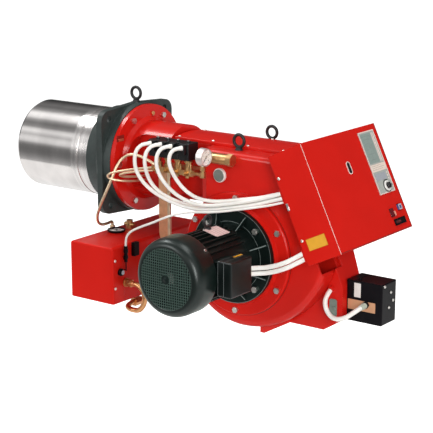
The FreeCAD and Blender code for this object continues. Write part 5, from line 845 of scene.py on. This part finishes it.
class BURNER_OT_body(bpy.types.Operator):
    """Glaze the sight glass, and add painted shade and a floor for the body flange's cast recess, and its
    hexagon plug
    """
    bl_idname = "burner.body"
    bl_label = "Dress the body"

    def execute(self, context):
        pane = turned(SIGHT_PANE, (388, -123, 12), -AXIS_Y, 64)
        add_piece("sight_pane", pane, "sight_film", replaces="sight_glass")
        # Painted shade: a flat dark red plate stands for the shade in the flange's cast recess.
        recess = plate(30, 17, 2, 0.3, (56, -119, 71), AXIS_Y, AXIS_Z)
        add_piece("cast_recess", recess, "shaded_edge")
        floor = plate(21, 7, 1, 0.3, (56.3, -117, 66.5), AXIS_Y, AXIS_Z)
        add_piece("recess_floor", floor, "strap")
        add_piece("flange_plug", turned(FLANGE_PLUG, (56, 18.5, 121.5), AXIS_X, 6), "copper")
        return {"FINISHED"}


# The fan cowl: its sheet's thickness along the axis and square to it, the depth of its shoulder, its guard's
# pitch, the bars' width and thickness, and the angles of its screws.
COWL_SHEET = (1.2, 2.0)
SHOULDER_DEEP = 31.0
GUARD_PITCH = 6.7
GUARD_BAR = (1.8, 0.9)
COWL_SCREW_ANGLES = (45, 135, 225, 315)
GUARD_BOSS = ((-0.8, 0), (-0.8, 3.5), (-0.2, 4.5), (0, 11.5), (1.2, 12.5), (1.8, 12.5), (1.8, 0))
# The profile (y, r) of a dark ring across the cowl's mouth, which is painted shade for the cowl's dark inside.
COWL_SHADE_RING = ((0, 40), (0, 97.2), (0.8, 97.2), (0.8, 40), (0, 40))
COWL_SCREW = ((0, 0), (0, 4.2), (1.4, 3.6), (1.9, 0))


def guard_dome(radius):
    """The guard's place along Y: furthest out in the middle, drawing in with the square of the radius."""
    return COWL_END + 1.2 + 2.6 * (radius / GUARD_RADIUS) ** 2


def cowl_profile():
    """Profile (y, r) of the cowl's sheet: a shoulder that goes with cos t and sin t, then the barrel."""
    angle = np.linspace(0, np.pi / 2, 14)
    start = guard_dome(GUARD_RADIUS)
    shoulder = np.stack([start + SHOULDER_DEEP * (1 - np.cos(angle) ** 0.9),
                         GUARD_RADIUS + (COWL_RADIUS - GUARD_RADIUS) * np.sin(angle) ** 0.9], -1)
    lip = [[start + COWL_SHEET[0], GUARD_RADIUS - COWL_SHEET[0]]]
    barrel = [[COWL_MOUTH - 4, COWL_RADIUS], [COWL_MOUTH, COWL_RADIUS - 0.6], [COWL_MOUTH, COWL_RADIUS - 2]]
    inside = shoulder[::-1] + [COWL_SHEET[0], -COWL_SHEET[1]]
    return np.concatenate([lip, shoulder, barrel, inside, lip])


class BURNER_OT_cowl(bpy.types.Operator):
    """Press the motor's fan cowl with its domed guard, in place of its plain solid"""
    bl_idname = "burner.cowl"
    bl_label = "Press the fan cowl"

    def execute(self, context):
        shell = turned(cowl_profile(), FAN_CENTRE, AXIS_Y, 128)
        add_piece("cowl_shell", shell, "cowl_enamel", replaces="fan_cowl", smooth=50)
        guard = bar_grid(FAN_CENTRE, GUARD_RADIUS + 1, GUARD_PITCH, *GUARD_BAR, guard_dome)
        add_piece("cowl_guard", guard, "guard_enamel", merge=False)
        boss = turned(GUARD_BOSS, FAN_CENTRE + AXIS_Y * guard_dome(0), AXIS_Y)
        add_piece("cowl_boss", boss, "motor_enamel")
        # Painted shade: a dark ring across the cowl's mouth stands for the shade inside the cowl, behind the
        # guard.
        shade_ring = turned(COWL_SHADE_RING, FAN_CENTRE + AXIS_Y * (COWL_MOUTH - 1.8), AXIS_Y, 64)
        add_piece("cowl_screen", shade_ring, "eye_enamel")
        mouth = FAN_CENTRE + AXIS_Y * (COWL_MOUTH - 8)
        heads = [turned(COWL_SCREW, mouth + round_motor(turn) * (COWL_RADIUS - 0.3), round_motor(turn), 20)
                 for turn in COWL_SCREW_ANGLES]
        add_piece("cowl_screws", joined(heads), "zinc")
        return {"FINISHED"}


# The rating plate: its angle round the motor from +X, its thickness, and where its rules and rivets stand.
RATING_ANGLE = 76.0
RATING_THICK = 0.8
RATING_RULES = (-14, -4, 6, 16)
RATING_RIVETS = [(across, along) for across in (-20.5, 20.5) for along in (-26.5, 26.5)]
RIVET = ((0, 0), (0, 1.6), (0.6, 1.2), (0.9, 0))

# Painted highlight lines on the motor's flange, as radius and width, and the place along Y of the face that
# has them.
FLANGE_HIGHLIGHTS = ((124.6, 1.2), (92.5, 1.1))
FLANGE_FACE = -147.0

# The edges of the flange's ribs, along which painted highlight lines lie: their ends, as radius and place
# along Y, and the parts of their way out along the radius and along -Y.
RIB_ENDS = ((118, -148.3), (80, -173.7))
RIB_OUT = (28, 42)

# The painted shadow line round the motor plate's edge: its radius, the scroll's front along Y, on which it
# lies, and its angles from +X round the motor.
SHADOW_LINE_RADIUS = 164.0
SCROLL_FRONT = -115.0
SHADOW_LINE_ANGLES = np.linspace(-100, 75, 61)


class BURNER_OT_motor(bpy.types.Operator):
    """Add the motor's rating plate, painted highlight lines on its flange and ribs, a painted shadow line
    round its plate, and the box's gaskets
    """
    bl_idname = "burner.motor"
    bl_label = "Dress the motor"

    def execute(self, context):
        out = round_motor(RATING_ANGLE)
        across = np.array([out[2], 0, -out[0]])
        middle = FAN_CENTRE + out * 91.2 + across * 0.7 - AXIS_Y * 240
        rating = plate(44, 56, 1.2, RATING_THICK, middle, across, AXIS_Y)
        add_piece("rating_plate", rating, "silver_label")
        face = middle + out * RATING_THICK
        lines = [frame_ring(39, 51, 0.8, 0.7, 0.12, face, across, AXIS_Y)]
        lines += [bar(face + across * 18 + AXIS_Y * q, face - across * 18 + AXIS_Y * q, 0.7, 0.12, out)
                  for q in RATING_RULES]
        add_piece("rating_lines", joined(lines), "rating_print")
        rivets = [turned(RIVET, face + across * p + AXIS_Y * q, out, 16) for p, q in RATING_RIVETS]
        add_piece("rating_rivets", joined(rivets), "zinc")
        # Painted highlights: light rings on the flange's face and light bars along its ribs' edges.
        rims = [turned(((0, r - w), (0, r), (0.4, r), (0.4, r - w), (0, r - w)),
                       FAN_CENTRE + AXIS_Y * FLANGE_FACE, -AXIS_Y, 96) for r, w in FLANGE_HIGHLIGHTS]
        add_piece("flange_lines", joined(rims), "worn_edge")
        edges = []
        for turn in 22.5 + 45 * np.arange(8):
            way = round_motor(turn)
            ends = (FAN_CENTRE + way * radius + AXIS_Y * y for radius, y in RIB_ENDS)
            face_out = (way * RIB_OUT[0] - AXIS_Y * RIB_OUT[1]) / math.hypot(*RIB_OUT)
            edges.append(bar(*ends, 1.6, 0.3, face_out))
        add_piece("rib_edges", joined(edges), "worn_edge")
        # Painted shadow: a dark red line on the scroll's front round the motor plate's edge.
        ways = np.array([round_motor(turn) for turn in SHADOW_LINE_ANGLES])
        shade_points = FAN_CENTRE + ways * SHADOW_LINE_RADIUS + AXIS_Y * SCROLL_FRONT
        shade_bars = [bar(start, end, 1.8, 0.3, -AXIS_Y) for start, end in zip(shade_points[:-1], shade_points[1:])]
        add_piece("plate_groove", joined(shade_bars), "shaded_edge")
        gaskets = [frame_ring(87.4, 89.4, 5, 2, thick, (x, -294, -188), AXIS_Y, AXIS_Z)
                   for x, thick in ((561.1, 1.3), (543.6, 1.4))]
        add_piece("terminal_gaskets", joined(gaskets), "gasket")
        mark = plate(6.5, 33, 0.5, 0.4, (553.5, -268, -143), AXIS_X, AXIS_Y)
        add_piece("terminal_mark", mark, "yellow_label")
        return {"FINISHED"}


# The servomotor's front along Y, its label's rules along X, and the conduit sleeve's length and rib pitch.
SERVO_FRONT = -39.0
SERVO_RULES = (754.5, 758.2, 761.9, 765.6)
SLEEVE_LENGTH = 17.0
SLEEVE_RIB_PITCH = 3.4


class BURNER_OT_servo(bpy.types.Operator):
    """Put the bare label and the tan plate on the servomotor, and the ribbed sleeve on its conduit"""
    bl_idname = "burner.servo"
    bl_label = "Dress the servomotor"

    def execute(self, context):
        label = plate(19, 37, 0.6, 0.5, (760.5, SERVO_FRONT, -249.5), AXIS_X, AXIS_Z)
        add_piece("servo_label", label, "white_label")
        front = SERVO_FRONT - 0.5
        rules = [bar((x, front, -232.5), (x, front, -266.5), 0.8, 0.1, -AXIS_Y) for x in SERVO_RULES]
        add_piece("servo_label_rules", joined(rules), "faint_print")
        tan = plate(80, 26.5, 0.8, 0.7, (773, SERVO_FRONT, -288.5), AXIS_X, AXIS_Z)
        add_piece("servo_plate", tan, "tan_plate")
        route = CABLES["servo_conduit"][2]
        along = np.linspace(0, SLEEVE_LENGTH, 41)
        radius = 7.8 - 0.05 * along + 0.45 * np.sin(along / SLEEVE_RIB_PITCH * 2 * np.pi)
        profile = np.concatenate([[[0, 0]], np.stack([along, radius], -1), [[SLEEVE_LENGTH, 0]]])
        sleeve = turned(profile, route[0], first_way(route), 32)
        add_piece("conduit_sleeve", sleeve, "sleeve_grey")
        return {"FINISHED"}


# The stage, in metres.

# The photograph's camera: degrees round from -Y towards +X and above level, its lens's focal length and the
# picture's width in pixels, what it looks at and how far off.
CAMERA_TURN = 36.53
CAMERA_RISE = 13.83
FOCAL_PIXELS = 1463.2
PICTURE_PIXELS = 433
CAMERA_TARGET = (0.3046, -0.0195, -0.1292)
CAMERA_DISTANCE = 3.9302
SENSOR_MM = 36

# The floor's height, its edge on the motor side and its half width, and its own light as seen directly and in
# a mirror.
FLOOR_Z = -0.62
FLOOR_EDGE = -0.75
FLOOR_SIDE = 30.0
FLOOR_LIFT = 0.75
FLOOR_MIRRORED = 0.2

# The strength of the light all round, and of the cards that bright metal mirrors.
AMBIENT = 0.40
CARD_STRENGTH = 1.15

# Light and dark cards that bright metal shows: degrees round X from the motor side up over the top, and their
# grey.
STUDIO_BANDS = (
    (-180, 0.84), (-125, 0.84), (-60, 0.95), (-53, 0.77), (-47, 0.6), (-41, 0.43), (-30, 0.26), (-20, 0.17),
    (-10, 0.15), (0, 0.18), (6, 0.35), (11, 0.75), (18, 0.87), (24, 0.75), (28, 0.55), (33, 0.7), (39, 0.97),
    (45, 0.75), (50, 0.3), (61, 0.19), (67, 0.27), (73, 0.42), (78, 0.8), (86, 1.0), (93, 0.98), (98, 0.66),
    (104, 0.29), (120, 0.14), (131, 0.18), (157, 0.05), (180, 0.04))

# Soft boxes: name, place, width, height and watts.
LAMPS = (
    ("key", (3.0, -2.4, 0.7), 0.8, 1.8, 76.0),
    ("left", (-1.7, -0.3, 2.5), 1.2, 0.4, 34.0),
    ("front", (-1.2, -3.0, 0.9), 1.0, 1.0, 26.0),
    ("top", (0.9, 0.2, 2.8), 2.0, 1.0, 30.0),
)


def seen_rays(tree):
    """The light path's outputs, and 1 for what the camera sees directly or through glass."""
    path = add_node(tree, "ShaderNodeLightPath").outputs
    return path, add_node(tree, "ShaderNodeMath", {0: path["Is Camera Ray"], 1: path["Is Transmission Ray"]},
                          operation="MAXIMUM").outputs[0]


def make_floor():
    """Plain pale floor below the burner, which keeps its soft shadow."""
    corners = [[-FLOOR_SIDE, FLOOR_EDGE], [FLOOR_SIDE, FLOOR_EDGE], [FLOOR_SIDE, FLOOR_SIDE],
               [-FLOOR_SIDE, FLOOR_SIDE]]
    mesh = bpy.data.meshes.new("floor")
    mesh.from_pydata(np.c_[corners, np.full(4, FLOOR_Z)].tolist(), [], [[0, 1, 2, 3]])
    floor = bpy.data.objects.new("floor", mesh)
    bpy.context.scene.collection.objects.link(floor)
    material, tree, place = start_material("pale_painted_floor")
    path, seen = seen_rays(tree)
    mirrored = add_node(tree, "ShaderNodeMath", {0: path["Is Glossy Ray"], 1: FLOOR_MIRRORED},
                        operation="MULTIPLY").outputs[0]
    lift = add_node(tree, "ShaderNodeMath", {0: seen, 1: FLOOR_LIFT, 2: mirrored},
                    operation="MULTIPLY_ADD").outputs[0]
    end_material(tree, {
        "Base Color": shaded(tree, speckle(tree, place, 400, 1), to_linear("#EFEFEE"), 0.99, 1.0),
        "Roughness": 0.9, "Specular IOR Level": 0.1, "Emission Color": (1, 1, 1, 1),
        "Emission Strength": lift})
    mesh.materials.append(material)


def make_world(scene):
    """Grey light all round, banded cards for mirrored rays, and white for the camera and through glass."""
    world = bpy.data.worlds.new("studio")
    world.use_nodes = True
    scene.world = world
    tree = world.node_tree
    tree.nodes.clear()
    path, seen = seen_rays(tree)
    way = add_node(tree, "ShaderNodeTexCoord").outputs["Generated"]
    part = add_node(tree, "ShaderNodeSeparateXYZ", {0: way}).outputs
    front = add_node(tree, "ShaderNodeMath", {0: part["Y"], 1: -1.0}, operation="MULTIPLY").outputs[0]
    round_x = add_node(tree, "ShaderNodeMath", {0: part["Z"], 1: front}, operation="ARCTAN2").outputs[0]
    share = add_node(tree, "ShaderNodeMapRange", {
        "Value": round_x, "From Min": -math.pi, "From Max": math.pi}).outputs[0]
    cards = add_node(tree, "ShaderNodeValToRGB", {"Fac": share})
    stops = cards.color_ramp.elements
    stops[0].position, stops[1].position = 0, 1
    for degrees, grey in STUDIO_BANDS[1:-1]:
        stops.new(0.5 + degrees / 360).color = (grey, grey, grey, 1)
    for stop, grey in ((stops[0], STUDIO_BANDS[0][1]), (stops[-1], STUDIO_BANDS[-1][1])):
        stop.color = (grey, grey, grey, 1)
    ambient, mirrored, white = (
        add_node(tree, "ShaderNodeBackground", {"Color": light, "Strength": strength}).outputs[0]
        for light, strength in (((1, 1, 1, 1), AMBIENT), (cards.outputs["Color"], CARD_STRENGTH),
                                ((1, 1, 1, 1), 1.0)))
    first = add_node(tree, "ShaderNodeMixShader", {0: path["Is Glossy Ray"], 1: ambient, 2: mirrored})
    last = add_node(tree, "ShaderNodeMixShader", {0: seen, 1: first.outputs[0], 2: white})
    add_node(tree, "ShaderNodeOutputWorld", {"Surface": last.outputs[0]})


def make_lamps():
    """Soft boxes: a large key beyond the cabinet, a strip on the left, and fills from the front and top."""
    centre = Vector(CAMERA_TARGET)
    for name, place, width, height, watts in LAMPS:
        lamp = bpy.data.lights.new(name, "AREA")
        lamp.shape = "RECTANGLE"
        lamp.size, lamp.size_y, lamp.energy = width, height, watts
        holder = bpy.data.objects.new(name, lamp)
        bpy.context.scene.collection.objects.link(holder)
        place = Vector(place)
        aim = (place - centre).to_track_quat("Z", "Y").to_matrix().to_4x4()
        holder.matrix_world = Matrix.Translation(place) @ aim


def make_camera(scene):
    """Long lens at the photograph's angle, aimed at the middle of the burner."""
    turn, rise = math.radians(CAMERA_TURN), math.radians(CAMERA_RISE)
    back = Vector((math.sin(turn) * math.cos(rise), -math.cos(turn) * math.cos(rise), math.sin(rise)))
    right = Vector((math.cos(turn), math.sin(turn), 0))
    camera = bpy.data.cameras.new("camera")
    camera.sensor_width = SENSOR_MM
    camera.lens = SENSOR_MM * (FOCAL_PIXELS / PICTURE_PIXELS)
    camera.clip_start, camera.clip_end = 0.1, 200
    holder = bpy.data.objects.new("camera", camera)
    scene.collection.objects.link(holder)
    turned_frame = Matrix((right, back.cross(right), back)).transposed().to_4x4()
    holder.matrix_world = Matrix.Translation(Vector(CAMERA_TARGET) + back * CAMERA_DISTANCE) @ turned_frame
    scene.camera = holder


class BURNER_OT_stage(bpy.types.Operator):
    """Set the pale floor, the soft lamps, the background and the camera"""
    bl_idname = "burner.stage"
    bl_label = "Set the stage"

    def execute(self, context):
        make_floor()
        make_world(context.scene)
        make_lamps()
        make_camera(context.scene)
        return {"FINISHED"}


class BURNER_PT_panel(bpy.types.Panel):
    """Lists the burner's pieces, sizes and colours"""
    bl_idname = "BURNER_PT_panel"
    bl_label = "Heavy oil burner"
    bl_space_type = "VIEW_3D"
    bl_region_type = "UI"
    bl_category = "Burner"

    def draw(self, context):
        for operator in OPERATORS:
            self.layout.operator(operator.bl_idname)
        for group in (context.scene.burner_sizes, context.scene.burner_colours):
            for name in group.bl_rna.properties.keys():
                if name not in ("rna_type", "name"):
                    self.layout.prop(group, name)


OPERATORS = (BURNER_OT_finishes, BURNER_OT_cables, BURNER_OT_dials, BURNER_OT_coils, BURNER_OT_controls,
             BURNER_OT_side, BURNER_OT_body, BURNER_OT_cowl, BURNER_OT_motor, BURNER_OT_servo,
             BURNER_OT_stage)
CLASSES = (BurnerColours, BurnerSizes, *OPERATORS, BURNER_PT_panel)


def register():
    for kind in CLASSES:
        bpy.utils.register_class(kind)
    bpy.types.Scene.burner_colours = PointerProperty(type=BurnerColours)
    bpy.types.Scene.burner_sizes = PointerProperty(type=BurnerSizes)


def unregister():
    del bpy.types.Scene.burner_sizes
    del bpy.types.Scene.burner_colours
    for kind in reversed(CLASSES):
        bpy.utils.unregister_class(kind)


def main():
    """Makes every piece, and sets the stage."""
    register()
    bpy.context.scene.view_settings.view_transform = "Standard"
    for operator in OPERATORS:
        kind, name = operator.bl_idname.split(".")
        getattr(getattr(bpy.ops, kind), name)()


if __name__ == "__main__":
    main()
